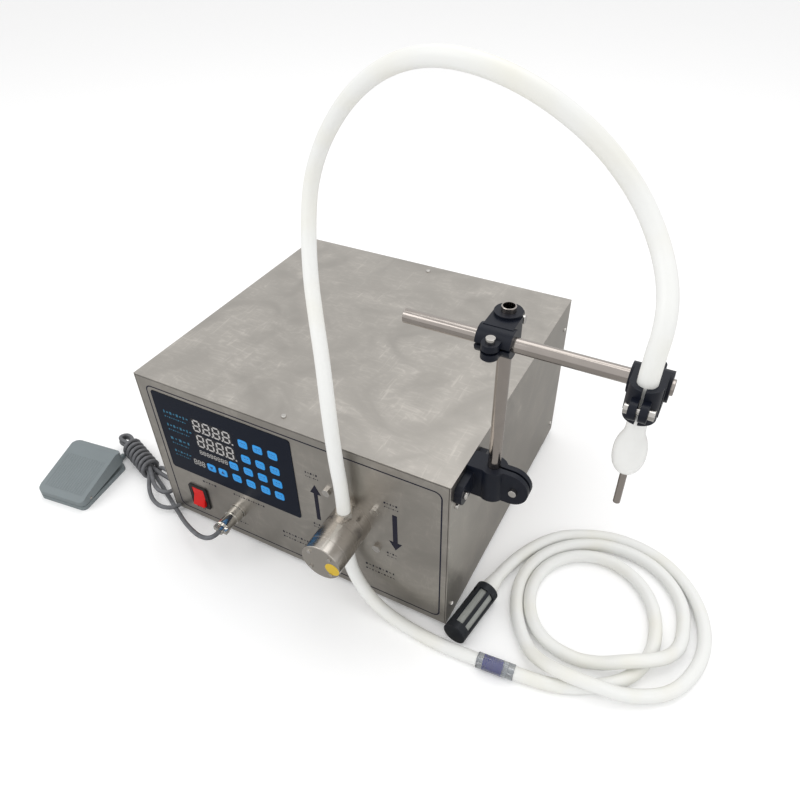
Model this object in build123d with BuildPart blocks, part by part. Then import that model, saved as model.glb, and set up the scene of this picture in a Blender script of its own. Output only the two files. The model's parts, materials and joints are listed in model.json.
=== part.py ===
"""Bench-top magnetic-drive gear-pump liquid filler with stand, hoses and foot pedal, in millimetres.

+X is to the right of someone who faces the control panel, -Y is towards them and +Z is up.
The origin is on the bench, under the middle of the cabinet, stand and pedal taken together.
"""
from build123d import *
from math import cos, pi, radians, sin, tan
import os

os.makedirs("parts", exist_ok=True)

# ---------------------------------------------------------------- driving dimensions
# Cabinet of folded stainless sheet
cabinet_width = 350.0
cabinet_depth = 327.0
cabinet_height = 195.0
cabinet_left = -161.0
cabinet_front = -133.5
foot_height = 6.0
foot_radius = 10.0
foot_inset = 26.0
sheet = 1.2
seam = 0.5
flange_depth = 24.0
tray_flange_height = 28.0

# Screws that hold the cover: distances in from the front or back face, and heights
cover_screw_inset = 12.5
cover_screw_low = 18.5
cover_screw_high = 161.5
top_screw_x = 175.0
screw_shank_radius = 1.5
screw_hole_radius = 1.6
screw_head_radius = 2.9
screw_head_height = 1.8
screw_length = 7.0

# Membrane control panel, from the cabinet's lower left front corner
overlay_width = 170.0
overlay_height = 107.0
overlay_left = 17.5
overlay_low = 73.0
overlay_thick = 0.5
overlay_corner = 7.5
display_depth = 8.0
board_thick = 1.6
board_margin = 5.0
stud_radius = 2.5
window_gap = 0.4

# Rocker switch
rocker_x = 46.0
rocker_z = 37.0
bezel_width = 25.5
bezel_height = 32.0
bezel_proud = 2.0
bezel_depth = 20.0
rocker_width = 15.6
rocker_length = 24.0
rocker_tilt = 10.0
rocker_gap = 0.5
trunnion_radius = 1.5
running_gap = 0.05

# Pedal socket and plug
socket_x = 101.0
socket_z = 41.3
socket_radius = 8.0
socket_ring_radius = 9.6
socket_ring_proud = 5.0
plug_radius = 7.6
plug_ring_radius = 8.8
plug_end = 34.0
cable_radius = 2.5

# Pump, from the same corner as the control panel
pump_x = 250.0
pump_z = 104.5
pump_radius = 20.0
housing_length = 24.0
gear_case_length = 20.0
cover_length = 13.0
port_setback = 13.0
port_hex = 15.0
port_hex_height = 5.5
port_thread_radius = 5.0
barb_radius = 4.4
barb_length = 10.0
gear_module = 0.8
gear_teeth = 12
gear_width = 8.0
gear_tip_gap = 0.15
shaft_radius = 2.5
can_inner_radius = 12.5
can_wall = 1.0
can_length = 28.0
magnet_radius = 12.0
magnet_length = 22.0
cup_inner_radius = 14.5
cup_outer_radius = 20.0
cup_length = 25.0
motor_shaft_radius = 4.0
lantern_flange = 62.0
lantern_flange_thick = 4.0
lantern_bore_radius = 15.0
lantern_inner_radius = 23.0
lantern_outer_radius = 27.0
lantern_length = 52.0
bracket_screw_spacing = 52.0
bracket_screw_radius = 2.5
bracket_screw_head = 8.0
bracket_screw_head_height = 3.5
motor_radius = 28.5
motor_length = 80.0
cover_screw_circle = 15.0
pump_screw_radius = 1.5

# Stand
tube_radius = 5.5
tube_wall = 1.0
upright_x = 371.0
upright_y = 41.0
upright_low = 155.0
upright_high = 352.0
arm_left = 299.0
arm_right = 491.0
arm_z = 335.0
clamp_axis_gap = 20.0
nozzle_x = 476.0
clamp_width = 26.0
clamp_radius = 10.5
clamp_ear_reach = 13.0
clamp_ear_radius = 6.5
clamp_ear_thick = 5.0
clamp_slit = 2.0
clamp_screw_radius = 2.0
clamp_screw_head_radius = 3.5
clamp_screw_head_height = 4.0
base_clamp_height = 33.0
base_clamp_low = 162.0
base_foot_thick = 7.0
base_foot_front = 6.0
base_foot_back = 68.0
base_foot_height = 21.0
base_foot_top = 188.5
base_foot_screw_inset = 7.0

# Hose and nozzle
hose_radius = 6.5
hose_bore = 4.5
nozzle_bulb_radius = 11.0
nozzle_bulb_top = 310.0
nozzle_bulb_low = 283.0
nozzle_cone_low = 273.0
nozzle_tip_low = 242.0
nozzle_tip_radius = 2.5
nozzle_tip_bore = 1.7
nozzle_shank_radius = 2.2
nozzle_throat = 2.25
poppet_radius = 4.0
spring_wire = 0.45

# Check valve and strainer on the intake hose
valve_radius = 7.5
valve_length = 36.0
valve_wall = 1.2
strainer_radius = 12.0
strainer_length = 62.0
strainer_ring = 8.0
strainer_ribs = 6
mesh_radius = 9.8
mesh_wall = 0.5

# Foot pedal
pedal_x = -292.7
pedal_y = -153.9
pedal_turn = 7.0
pedal_width = 67.0
pedal_length = 78.0
pedal_base_height = 6.0
pedal_heel_height = 31.0
pedal_toe_height = 16.0
pedal_wall = 2.5
pedal_corner = 6.0
pedal_gland_reach = 13.4
pedal_pivot_setback = 14.0
pedal_pivot_z = 9.5
pedal_pin_radius = 1.75
pedal_gap = 0.6

# Cord routes: points chosen by hand, in the part's own frame
outlet_route = [
    (89.0, -146.5, 136.0), (89.0, -146.5, 163.0), (87.0, -147.5, 194.0), (82.5, -143.5, 225.0),
    (74.0, -133.0, 254.0), (61.0, -116.0, 280.0), (46.0, -98.0, 304.0), (31.0, -79.0, 330.0),
    (20.0, -60.0, 361.0), (17.0, -46.0, 397.0), (33.0, -44.0, 435.0), (69.0, -58.0, 475.0),
    (114.0, -80.0, 504.0), (160.0, -98.0, 517.0), (207.0, -98.0, 508.0), (248.0, -86.0, 481.0),
    (277.0, -77.0, 449.0), (298.0, -88.0, 424.0), (311.0, -107.0, 406.0), (316.0, -123.0, 390.0),
    (315.0, -132.5, 366.0), (315.0, -132.5, 340.0),
]
outlet_splits = [8, 13, 17]
intake_route = [
    (89.0, -146.5, 85.0), (89.0, -146.5, 66.5), (95.0, -148.0, 47.5), (107.0, -150.0, 29.5),
    (124.0, -151.5, 14.5), (146.0, -153.5, 7.5), (172.0, -156.0, 6.5), (203.0, -157.5, 7.5),
    (232.0, -155.0, 7.5),
]
lead_route = [(267.87, -151.91, 7.5), (290.0, -150.0, 7.5), (313.0, -144.0, 6.5), (336.0, -132.0, 6.5)]
tail_route = [
    (264.0, 31.5, 6.5), (244.0, 12.0, 6.5), (229.5, -12.0, 6.5), (220.5, -36.0, 8.0),
    (215.5, -60.0, 12.0), (212.0, -82.0, 12.0),
]
cable_route = [
    (-60.0, -167.5, 47.3), (-60.0, -175.0, 47.3), (-68.0, -179.5, 45.0), (-81.0, -178.0, 41.0),
    (-98.0, -171.5, 35.0), (-115.0, -163.5, 28.0), (-131.0, -154.5, 20.0), (-144.0, -146.5, 12.0),
    (-156.0, -139.5, 5.0), (-168.0, -133.0, 3.2),
]
run_share = 0.45
coil_centre = (331.0, -45.0)
coil_radius = 98.5
coil_hole_centre = (311.0, -47.0)
coil_hole_radius = 58.0
coil_height = 22.0
hank_start = (-287.0, -84.0)
hank_neck = (-222.0, -108.5)
hank_radius = 13.0
hank_fan_height = 12.0
hank_fan = [
    (-228.0, -97.0), (-205.0, -101.0), (-182.0, -112.0), (-166.0, -122.0), (-164.0, -134.0),
    (-152.0, -136.5), (-150.0, -142.0), (-158.0, -147.0), (-172.0, -149.0), (-192.0, -146.5),
    (-212.0, -136.0), (-230.0, -121.0),
]

# ---------------------------------------------------------------- places worked out from them
cabinet_right = cabinet_left + cabinet_width
cabinet_back = cabinet_front + cabinet_depth
cabinet_mid_x = cabinet_left + cabinet_width / 2
cabinet_mid_y = cabinet_front + cabinet_depth / 2
cabinet_bottom = foot_height
cabinet_top = cabinet_bottom + cabinet_height
panel_width = cabinet_width - 2 * (sheet + seam)
panel_height = cabinet_height - sheet - seam
axis_x = cabinet_left + pump_x
axis_z = cabinet_bottom + pump_z
port_y = cabinet_front - port_setback
post_x = cabinet_left + upright_x
post_y = cabinet_front + upright_y
rail_y = post_y - clamp_axis_gap
rail_z = cabinet_bottom + arm_z
spout_x = cabinet_left + nozzle_x
spout_y = rail_y - clamp_axis_gap
gear_pitch_radius = gear_module * gear_teeth / 2
gear_spacing = 2 * gear_pitch_radius


def front_plane(proud=0.0):
    """Plane parallel to the front face: x to the right, y up, from the cabinet's lower left corner."""
    corner = (cabinet_left, cabinet_front - proud, cabinet_bottom)
    return Plane(origin=corner, x_dir=(1, 0, 0), z_dir=(0, -1, 0))


def back_plane(proud=0.0):
    """Plane parallel to the back face, from the lower corner under the right wall."""
    corner = (cabinet_right, cabinet_back + proud, cabinet_bottom)
    return Plane(origin=corner, x_dir=(-1, 0, 0), z_dir=(0, 1, 0))


def side_plane(x, out=1):
    """Plane parallel to a side wall: local x runs back, or forward on the left wall, and y up."""
    corner = (x, cabinet_front, cabinet_bottom) if out > 0 else (x, cabinet_back, cabinet_bottom)
    return Plane(origin=corner, x_dir=(0, out, 0), z_dir=(out, 0, 0))


def pump_plane(proud):
    """Plane across the pump's axis, proud of the front face."""
    return Plane(origin=(axis_x, cabinet_front - proud, axis_z), x_dir=(1, 0, 0), z_dir=(0, -1, 0))


def inner_plane(depth):
    """Plane across the pump's axis behind the front face, facing the back."""
    return Plane(origin=(axis_x, cabinet_front + depth, axis_z), x_dir=(-1, 0, 0), z_dir=(0, 1, 0))


def save(part, name):
    """Label a finished piece and write it."""
    part.label = name
    export_step(part, f"parts/{name}.step")


# ---------------------------------------------------------------- cabinet
side_screws = [
    (cover_screw_inset, cover_screw_low), (cover_screw_inset, cover_screw_high),
    (cabinet_depth - cover_screw_inset, cover_screw_low),
    (cabinet_depth - cover_screw_inset, cover_screw_high),
]
top_screws = [
    (cabinet_left + top_screw_x, cabinet_front + cover_screw_inset),
    (cabinet_left + top_screw_x, cabinet_back - cover_screw_inset),
]
base_clamp_z = base_foot_top - base_foot_height / 2
wall_screws = [
    (base_foot_front + base_foot_screw_inset, base_clamp_z),
    (base_foot_back - base_foot_screw_inset, base_clamp_z),
]
foot_places = [
    (cabinet_left + foot_inset, cabinet_front + foot_inset),
    (cabinet_right - foot_inset, cabinet_front + foot_inset),
    (cabinet_left + foot_inset, cabinet_back - foot_inset),
    (cabinet_right - foot_inset, cabinet_back - foot_inset),
]


with BuildPart() as cover_holes:
    for x, out in ((cabinet_left, -1), (cabinet_right, 1)):
        with BuildSketch(side_plane(x, out)):
            with Locations(*side_screws):
                Circle(screw_hole_radius)
        extrude(amount=-screw_length)
    with BuildSketch(Plane.XY.offset(cabinet_top)):
        with Locations(*top_screws):
            Circle(screw_hole_radius)
    extrude(amount=-screw_length)
    with BuildSketch(side_plane(cabinet_right)):
        with Locations(*wall_screws):
            Circle(screw_hole_radius)
    extrude(amount=-screw_length)


with BuildPart() as top_cover:
    with BuildSketch(front_plane()):
        with Locations((cabinet_width / 2, cabinet_height / 2)):
            Rectangle(cabinet_width, cabinet_height)
        with Locations((cabinet_width / 2, (cabinet_height - sheet) / 2)):
            Rectangle(cabinet_width - 2 * sheet, cabinet_height - sheet, mode=Mode.SUBTRACT)
    extrude(amount=-cabinet_depth)
    add(cover_holes.part, mode=Mode.SUBTRACT)
save(top_cover.part, "top_cover")

with BuildPart() as base_tray:
    with BuildSketch(Plane.XY.offset(cabinet_bottom)):
        with Locations((cabinet_mid_x, cabinet_mid_y)):
            Rectangle(panel_width, cabinet_depth - 2 * sheet)
        with Locations(*foot_places):
            Circle(screw_hole_radius, mode=Mode.SUBTRACT)
    extrude(amount=sheet)
    with BuildSketch(Plane.XY.offset(cabinet_bottom)):
        with Locations(
            (cabinet_mid_x - (panel_width - sheet) / 2, cabinet_mid_y),
            (cabinet_mid_x + (panel_width - sheet) / 2, cabinet_mid_y),
        ):
            Rectangle(sheet, cabinet_depth - 2 * (flange_depth + 1))
    extrude(amount=tray_flange_height)
save(base_tray.part, "base_tray")

with BuildPart() as rubber_feet:
    with BuildSketch():
        with Locations(*foot_places):
            Circle(foot_radius)
    extrude(amount=foot_height)
    chamfer(rubber_feet.edges().group_by(Axis.Z)[0], 0.8)
save(rubber_feet.part, "rubber_feet")


def folded_panel(plane):
    """Pan with the face towards the plane's normal and flanges that run inwards on all four sides."""
    with BuildPart() as pan:
        with BuildSketch(plane):
            with Locations((cabinet_width / 2, panel_height / 2)):
                Rectangle(panel_width, panel_height)
        extrude(amount=-sheet)
        with BuildSketch(plane.offset(-sheet)):
            with Locations((cabinet_width / 2, sheet + (panel_height - sheet) / 2)):
                Rectangle(panel_width, panel_height - sheet)
                Rectangle(panel_width - 2 * sheet, panel_height - 3 * sheet, mode=Mode.SUBTRACT)
        extrude(amount=-flange_depth + sheet)
    return pan.part


# Digit windows: centre x, centre z, width, height from the cabinet's lower left front corner
display_windows = [
    (89.9, 151.7, 50.2, 17.5), (90.2, 130.7, 50.4, 19.4), (83.8, 113.7, 37.7, 6.5), (60.5, 95.3, 16.0, 8.7),
]
overlay_mid = (overlay_left + overlay_width / 2, overlay_low + overlay_height / 2)
board_width = overlay_width - 2 * board_margin
board_height = overlay_height - 2 * board_margin
stud_places = [
    (overlay_mid[0] + i * (board_width / 2 - 6), overlay_mid[1] + j * (board_height / 2 - 6))
    for i in (-1, 1) for j in (-1, 1)
]
bracket_screws = [
    (i * bracket_screw_spacing / 2, j * bracket_screw_spacing / 2) for i in (-1, 1) for j in (-1, 1)
]
can_flange_radius = can_inner_radius + 5.5

with BuildPart() as front_panel:
    add(folded_panel(front_plane()))
    add(cover_holes.part, mode=Mode.SUBTRACT)
    with BuildSketch(front_plane()):
        for x, z, width, height in display_windows:
            with Locations((x, z)):
                Rectangle(width + 2 * window_gap, height + 2 * window_gap)
        with Locations((rocker_x, rocker_z)):
            Rectangle(bezel_width - 4, bezel_height - 3)
        with Locations((socket_x, socket_z)):
            Circle(socket_radius)
        with Locations((pump_x, pump_z)):
            Circle(can_flange_radius + window_gap)
    extrude(amount=-sheet, mode=Mode.SUBTRACT)
    with BuildSketch(pump_plane(0)):
        with Locations(*bracket_screws):
            Circle(bracket_screw_radius + screw_hole_radius - screw_shank_radius)
    extrude(amount=-sheet, mode=Mode.SUBTRACT)
    with BuildSketch(front_plane(-sheet)):
        with Locations(*stud_places):
            Circle(stud_radius)
    extrude(amount=-display_depth)
save(front_panel.part, "front_panel")

inlet_x = 60.0
inlet_z = 40.0
inlet_width = 27.6
inlet_height = 20.4
vent_slot = 34.0

with BuildPart() as rear_panel:
    add(folded_panel(back_plane()))
    add(cover_holes.part, mode=Mode.SUBTRACT)
    with BuildSketch(back_plane()):
        with Locations((inlet_x, inlet_z)):
            Rectangle(inlet_width, inlet_height)
            with Locations((-20, 0), (20, 0)):
                Circle(screw_hole_radius)
        for bank in (135.0, 215.0):
            with Locations((bank, 120.0)):
                with GridLocations(0, 9, 1, 7):
                    SlotOverall(vent_slot, 4)
    extrude(amount=-sheet, mode=Mode.SUBTRACT)
save(rear_panel.part, "rear_panel")


with BuildPart() as cover_screws:
    for x, out in ((cabinet_left, -1), (cabinet_right, 1)):
        with BuildSketch(side_plane(x, out)):
            with Locations(*side_screws):
                Circle(screw_shank_radius)
        extrude(amount=-screw_length + screw_head_height)
        with BuildSketch(side_plane(x, out)):
            with Locations(*side_screws):
                Circle(screw_head_radius)
        extrude(amount=screw_head_height, taper=20)
    with BuildSketch(Plane.XY.offset(cabinet_top)):
        with Locations(*top_screws):
            Circle(screw_shank_radius)
    extrude(amount=-screw_length + screw_head_height)
    with BuildSketch(Plane.XY.offset(cabinet_top)):
        with Locations(*top_screws):
            Circle(screw_head_radius)
    extrude(amount=screw_head_height, taper=20)
save(cover_screws.part, "cover_screws")

# ---------------------------------------------------------------- control panel
with BuildPart() as control_overlay:
    with BuildSketch(front_plane()):
        with Locations(overlay_mid):
            Rectangle(overlay_width, overlay_height)
        for x, z, width, height in display_windows:
            with Locations((x, z)):
                Rectangle(width, height, mode=Mode.SUBTRACT)
    extrude(amount=overlay_thick)
    outline = control_overlay.edges().filter_by(Axis.Y).group_by(Axis.X)
    fillet(outline[0] + outline[-1], overlay_corner)
save(control_overlay.part, "control_overlay")

with BuildPart() as display_modules:
    with BuildSketch(front_plane(-sheet - display_depth)):
        for x, z, width, height in display_windows:
            with Locations((x, z)):
                Rectangle(width - window_gap, height - window_gap)
    extrude(amount=display_depth + sheet + overlay_thick / 2)
save(display_modules.part, "display_modules")

with BuildPart() as control_board:
    with BuildSketch(front_plane(-sheet - display_depth)):
        with Locations(overlay_mid):
            Rectangle(board_width, board_height)
    extrude(amount=-board_thick)
save(control_board.part, "control_board")

# ---------------------------------------------------------------- rocker switch
rocker_pivot = (cabinet_left + rocker_x, cabinet_front + 1.0, cabinet_bottom + rocker_z)
rocker_hole_width = rocker_width + 2 * rocker_gap
rocker_hole_height = rocker_length + 2.8

with BuildPart() as rocker_bezel:
    with BuildSketch(front_plane()):
        with Locations((rocker_x, rocker_z)):
            RectangleRounded(bezel_width, bezel_height, 2.5)
    extrude(amount=bezel_proud)
    with BuildSketch(front_plane()):
        with Locations((rocker_x, rocker_z)):
            Rectangle(bezel_width - 5, bezel_height - 4)
    extrude(amount=-bezel_depth)
    with BuildSketch(front_plane(bezel_proud)):
        with Locations((rocker_x, rocker_z)):
            Rectangle(rocker_hole_width, rocker_hole_height)
    extrude(amount=-bezel_proud - 9, mode=Mode.SUBTRACT)
    with BuildSketch(Plane(origin=rocker_pivot, x_dir=(0, 0, 1), z_dir=(1, 0, 0))):
        Circle(trunnion_radius + running_gap)
    extrude(amount=rocker_hole_width / 2 + 1.5, both=True, mode=Mode.SUBTRACT)
    with BuildSketch(front_plane(-bezel_depth)):
        with Locations((rocker_x, rocker_z)):
            with GridLocations(0, 9, 1, 3):
                Rectangle(6.3, 0.8)
    extrude(amount=-8)
save(rocker_bezel.part, "rocker_bezel")

with BuildPart() as power_rocker:
    rocker_up = (0, sin(radians(rocker_tilt)), cos(radians(rocker_tilt)))
    with BuildSketch(Plane(origin=rocker_pivot, x_dir=rocker_up, z_dir=(1, 0, 0))):
        half = rocker_length / 2
        with BuildLine():
            Polyline((-half, 5), (0, 2.6), (half, 5), (half, 0.5), (4, -5), (-4, -5), (-half, 0.5), close=True)
        make_face()
    extrude(amount=rocker_width / 2, both=True)
    with BuildSketch(Plane(origin=rocker_pivot, x_dir=(0, 0, 1), z_dir=(1, 0, 0))):
        Circle(trunnion_radius)
    extrude(amount=rocker_hole_width / 2 + 1.2, both=True)
save(power_rocker.part, "power_rocker")

# ---------------------------------------------------------------- pedal socket and its plug
with BuildPart() as pedal_socket:
    with BuildSketch(front_plane(-12)):
        with Locations((socket_x, socket_z)):
            Circle(socket_radius - 0.1)
    extrude(amount=12 + socket_ring_proud - 1)
    with BuildSketch(front_plane()):
        with Locations((socket_x, socket_z)):
            Circle(socket_ring_radius)
    extrude(amount=socket_ring_proud - 2)
    with BuildSketch(front_plane(-sheet)):
        with Locations((socket_x, socket_z)):
            RegularPolygon(socket_ring_radius, 6)
    extrude(amount=-3)
save(pedal_socket.part, "pedal_socket")

with BuildPart() as cable_plug:
    with BuildSketch(front_plane(socket_ring_proud - 1)):
        with Locations((socket_x, socket_z)):
            Circle(plug_ring_radius)
    extrude(amount=9)
    with BuildSketch(front_plane(socket_ring_proud + 8)):
        with Locations((socket_x, socket_z)):
            Circle(plug_radius)
    extrude(amount=14)
    with BuildSketch(front_plane(socket_ring_proud + 22)):
        with Locations((socket_x, socket_z)):
            Circle(cable_radius + 2)
    extrude(amount=plug_end - socket_ring_proud - 22)
    with BuildSketch(front_plane(socket_ring_proud + 22.5)):
        with Locations((socket_x, socket_z)):
            Rectangle(17, 5)
    extrude(amount=5)
save(cable_plug.part, "cable_plug")

# ---------------------------------------------------------------- pump
gear_case_front = housing_length + gear_case_length
gear_back = housing_length + 0.1
gear_tip_radius = gear_pitch_radius + gear_module
gear_root_radius = gear_pitch_radius - 1.25 * gear_module
chamber_radius = gear_tip_radius + gear_tip_gap
tooth_angle = 360.0 / gear_teeth


def polar(radius, degrees):
    """Point at a radius and an angle."""
    return (radius * cos(radians(degrees)), radius * sin(radians(degrees)))


def gear_outline(turn):
    """Spur gear outline: straight-flanked teeth, a little thin so that the pair runs free."""
    flank = ((gear_root_radius - 0.3, 8.6), (gear_pitch_radius, 6.1), (gear_tip_radius, 2.7))
    with BuildSketch() as outline:
        Circle(gear_root_radius)
        for tooth in range(gear_teeth):
            middle_angle = turn + tooth * tooth_angle
            right = [polar(radius, middle_angle - half) for radius, half in flank]
            left = [polar(radius, middle_angle + half) for radius, half in reversed(flank)]
            with BuildLine():
                Polyline(*right, *left, close=True)
            make_face()
    return outline.sketch


with BuildPart() as pump_housing:
    with BuildSketch(pump_plane(0)):
        Circle(pump_radius)
        Circle(can_inner_radius, mode=Mode.SUBTRACT)
    extrude(amount=6)
    with BuildSketch(pump_plane(6)):
        Circle(pump_radius)
    extrude(amount=housing_length - 6)
    with BuildSketch(pump_plane(6)):
        Circle(shaft_radius + running_gap)
    extrude(amount=housing_length - 6, mode=Mode.SUBTRACT)
    with BuildSketch(pump_plane(housing_length)):
        with Locations((gear_spacing, 0)):
            Circle(shaft_radius + running_gap)
    extrude(amount=-8, mode=Mode.SUBTRACT)
    with BuildSketch(Plane(origin=(axis_x, port_y, axis_z + pump_radius), z_dir=(0, 0, 1))):
        Circle(port_thread_radius)
    extrude(amount=-9, mode=Mode.SUBTRACT)
    with BuildSketch(Plane(origin=(axis_x, port_y, axis_z - pump_radius), z_dir=(0, 0, -1))):
        Circle(port_thread_radius)
    extrude(amount=-9, mode=Mode.SUBTRACT)
    with BuildSketch(pump_plane(housing_length)):
        with Locations((gear_spacing / 2, 10.5), (gear_spacing / 2, -10.5)):
            Circle(1.6)
    extrude(amount=-housing_length + port_setback, mode=Mode.SUBTRACT)
save(pump_housing.part, "pump_housing")

with BuildPart() as gear_case:
    with BuildSketch(pump_plane(housing_length)):
        Circle(pump_radius)
    extrude(amount=gear_case_length)
    with BuildSketch(pump_plane(housing_length)):
        Circle(chamber_radius)
        with Locations((gear_spacing, 0)):
            Circle(chamber_radius)
        with Locations((gear_spacing / 2, 0)):
            Rectangle(3.2, 24.2)
    extrude(amount=gear_width + 0.3, mode=Mode.SUBTRACT)
    with BuildSketch(pump_plane(housing_length + gear_width)):
        Circle(shaft_radius + running_gap)
        with Locations((gear_spacing, 0)):
            Circle(shaft_radius + running_gap)
    extrude(amount=8, mode=Mode.SUBTRACT)
    with BuildSketch(pump_plane(gear_case_front)):
        with PolarLocations(cover_screw_circle, 4, start_angle=45):
            Circle(pump_screw_radius)
    extrude(amount=-5, mode=Mode.SUBTRACT)
save(gear_case.part, "gear_case")

with BuildPart() as pump_cover:
    with BuildSketch(pump_plane(gear_case_front)):
        Circle(pump_radius)
    extrude(amount=cover_length)
    chamfer(pump_cover.edges().group_by(Axis.Y)[0], 0.6)
    with BuildSketch(pump_plane(gear_case_front)):
        with PolarLocations(cover_screw_circle, 4, start_angle=45):
            Circle(pump_screw_radius + 0.1)
    extrude(amount=cover_length, mode=Mode.SUBTRACT)
save(pump_cover.part, "pump_cover")

with BuildPart() as drive_gear:
    with BuildSketch(pump_plane(gear_back)):
        add(gear_outline(0))
    extrude(amount=gear_width)
    with BuildSketch(pump_plane(housing_length + gear_width + 6)):
        Circle(shaft_radius)
    extrude(amount=-housing_length - gear_width - 6 - magnet_length)
save(drive_gear.part, "drive_gear")

with BuildPart() as idler_gear:
    with BuildSketch(pump_plane(gear_back)):
        with Locations((gear_spacing, 0)):
            add(gear_outline(180 + tooth_angle / 2))
    extrude(amount=gear_width)
    with BuildSketch(pump_plane(housing_length + gear_width + 6)):
        with Locations((gear_spacing, 0)):
            Circle(shaft_radius)
    extrude(amount=-gear_width - 12)
save(idler_gear.part, "idler_gear")

with BuildPart() as isolation_can:
    with BuildSketch(pump_plane(0)):
        Circle(can_flange_radius)
        Circle(can_inner_radius, mode=Mode.SUBTRACT)
    extrude(amount=-sheet)
    with BuildSketch(pump_plane(0)):
        Circle(can_inner_radius + can_wall)
        Circle(can_inner_radius, mode=Mode.SUBTRACT)
    extrude(amount=-can_length)
    with BuildSketch(pump_plane(-can_length)):
        Circle(can_inner_radius + can_wall)
    extrude(amount=-can_wall)
save(isolation_can.part, "isolation_can")

with BuildPart() as driven_magnet:
    with BuildSketch(pump_plane(-2)):
        Circle(magnet_radius)
        Circle(shaft_radius, mode=Mode.SUBTRACT)
    extrude(amount=-magnet_length)
    chamfer(driven_magnet.edges().group_by(Axis.Y)[-1].filter_by(lambda e: e.radius > shaft_radius), 1)
save(driven_magnet.part, "driven_magnet")

cup_front = sheet + lantern_flange_thick + 1.0
cup_back = cup_front + cup_length
motor_face = sheet + lantern_length

with BuildPart() as drive_magnet:
    with BuildSketch(pump_plane(-cup_front)):
        Circle(cup_outer_radius)
        Circle(cup_inner_radius, mode=Mode.SUBTRACT)
    extrude(amount=-cup_length)
    with BuildSketch(pump_plane(-cup_back)):
        Circle(cup_outer_radius)
    extrude(amount=-4)
    with BuildSketch(pump_plane(-cup_back - 4)):
        Circle(motor_shaft_radius + 4)
    extrude(amount=-8)
    with BuildSketch(pump_plane(-cup_back - 12)):
        Circle(motor_shaft_radius)
    extrude(amount=-motor_face - 30 + cup_back + 12)
save(drive_magnet.part, "drive_magnet")

with BuildPart() as motor_bracket:
    with BuildSketch(pump_plane(-sheet)):
        RectangleRounded(lantern_flange, lantern_flange, 4)
        Circle(lantern_bore_radius, mode=Mode.SUBTRACT)
        with Locations(*bracket_screws):
            Circle(bracket_screw_radius + 0.05, mode=Mode.SUBTRACT)
    extrude(amount=-lantern_flange_thick)
    with BuildSketch(pump_plane(-sheet - lantern_flange_thick)):
        Circle(lantern_outer_radius)
        Circle(lantern_inner_radius, mode=Mode.SUBTRACT)
    extrude(amount=-lantern_length + lantern_flange_thick)
    with BuildSketch(pump_plane(-motor_face + 4)):
        Circle(motor_radius)
        Circle(lantern_inner_radius - 10, mode=Mode.SUBTRACT)
    extrude(amount=-4)
save(motor_bracket.part, "motor_bracket")

with BuildPart() as motor:
    with BuildSketch(pump_plane(-motor_face)):
        Circle(motor_radius)
    extrude(amount=-motor_length)
    fillet(motor.edges().group_by(Axis.Y)[-1], 3)
    with BuildSketch(pump_plane(-motor_face)):
        Circle(motor_shaft_radius + running_gap)
    extrude(amount=-31, mode=Mode.SUBTRACT)
    with BuildSketch(Plane(origin=(axis_x, cabinet_front + motor_face + 40, axis_z - motor_radius + 2))):
        Rectangle(30, 40)
    extrude(amount=-(axis_z - motor_radius + 2 - cabinet_bottom - sheet))
save(motor.part, "motor")

with BuildPart() as hex_screws:
    with BuildSketch(pump_plane(0)):
        with Locations(*bracket_screws):
            Circle(bracket_screw_radius)
    extrude(amount=-sheet - lantern_flange_thick - 2)
    with BuildSketch(pump_plane(0)):
        with Locations(*bracket_screws):
            RegularPolygon(bracket_screw_head / 2, 6, major_radius=False)
    extrude(amount=bracket_screw_head_height)
    with BuildSketch(pump_plane(gear_case_front + cover_length)):
        with PolarLocations(cover_screw_circle, 4, start_angle=45):
            Circle(pump_screw_radius)
    extrude(amount=-cover_length - 4.5)
    with BuildSketch(pump_plane(gear_case_front + cover_length)):
        with PolarLocations(cover_screw_circle, 4, start_angle=45):
            RegularPolygon(2.2, 6)
    extrude(amount=1.2)
save(hex_screws.part, "hex_screws")


def port(up):
    """Barbed port that screws into the housing, with its bore through it; up is 1 or -1."""
    seat = Plane(origin=(axis_x, port_y, axis_z + up * (pump_radius - 0.6)), z_dir=(0, 0, up))
    with BuildPart() as fitting:
        with BuildSketch(seat):
            Circle(port_thread_radius - 0.05)
        extrude(amount=-8)
        with BuildSketch(seat):
            RegularPolygon(port_hex / 2, 6, major_radius=False)
        extrude(amount=port_hex_height + 0.6)
        with BuildSketch(seat.offset(port_hex_height + 0.6)):
            Circle(barb_radius)
        extrude(amount=barb_length)
        with BuildSketch(seat.offset(-8)):
            Circle(2.5)
        extrude(amount=port_hex_height + barb_length + 9, mode=Mode.SUBTRACT)
        with BuildSketch(pump_plane(port_setback - 9)):
            Circle(pump_radius)
        extrude(amount=18, mode=Mode.SUBTRACT)
        with BuildSketch(seat.offset(-8)):
            Circle(port_thread_radius - 0.05)
            Circle(2.5, mode=Mode.SUBTRACT)
        extrude(amount=8.2)
    return fitting.part


save(port(1), "outlet_port")
save(port(-1), "inlet_port")

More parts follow.
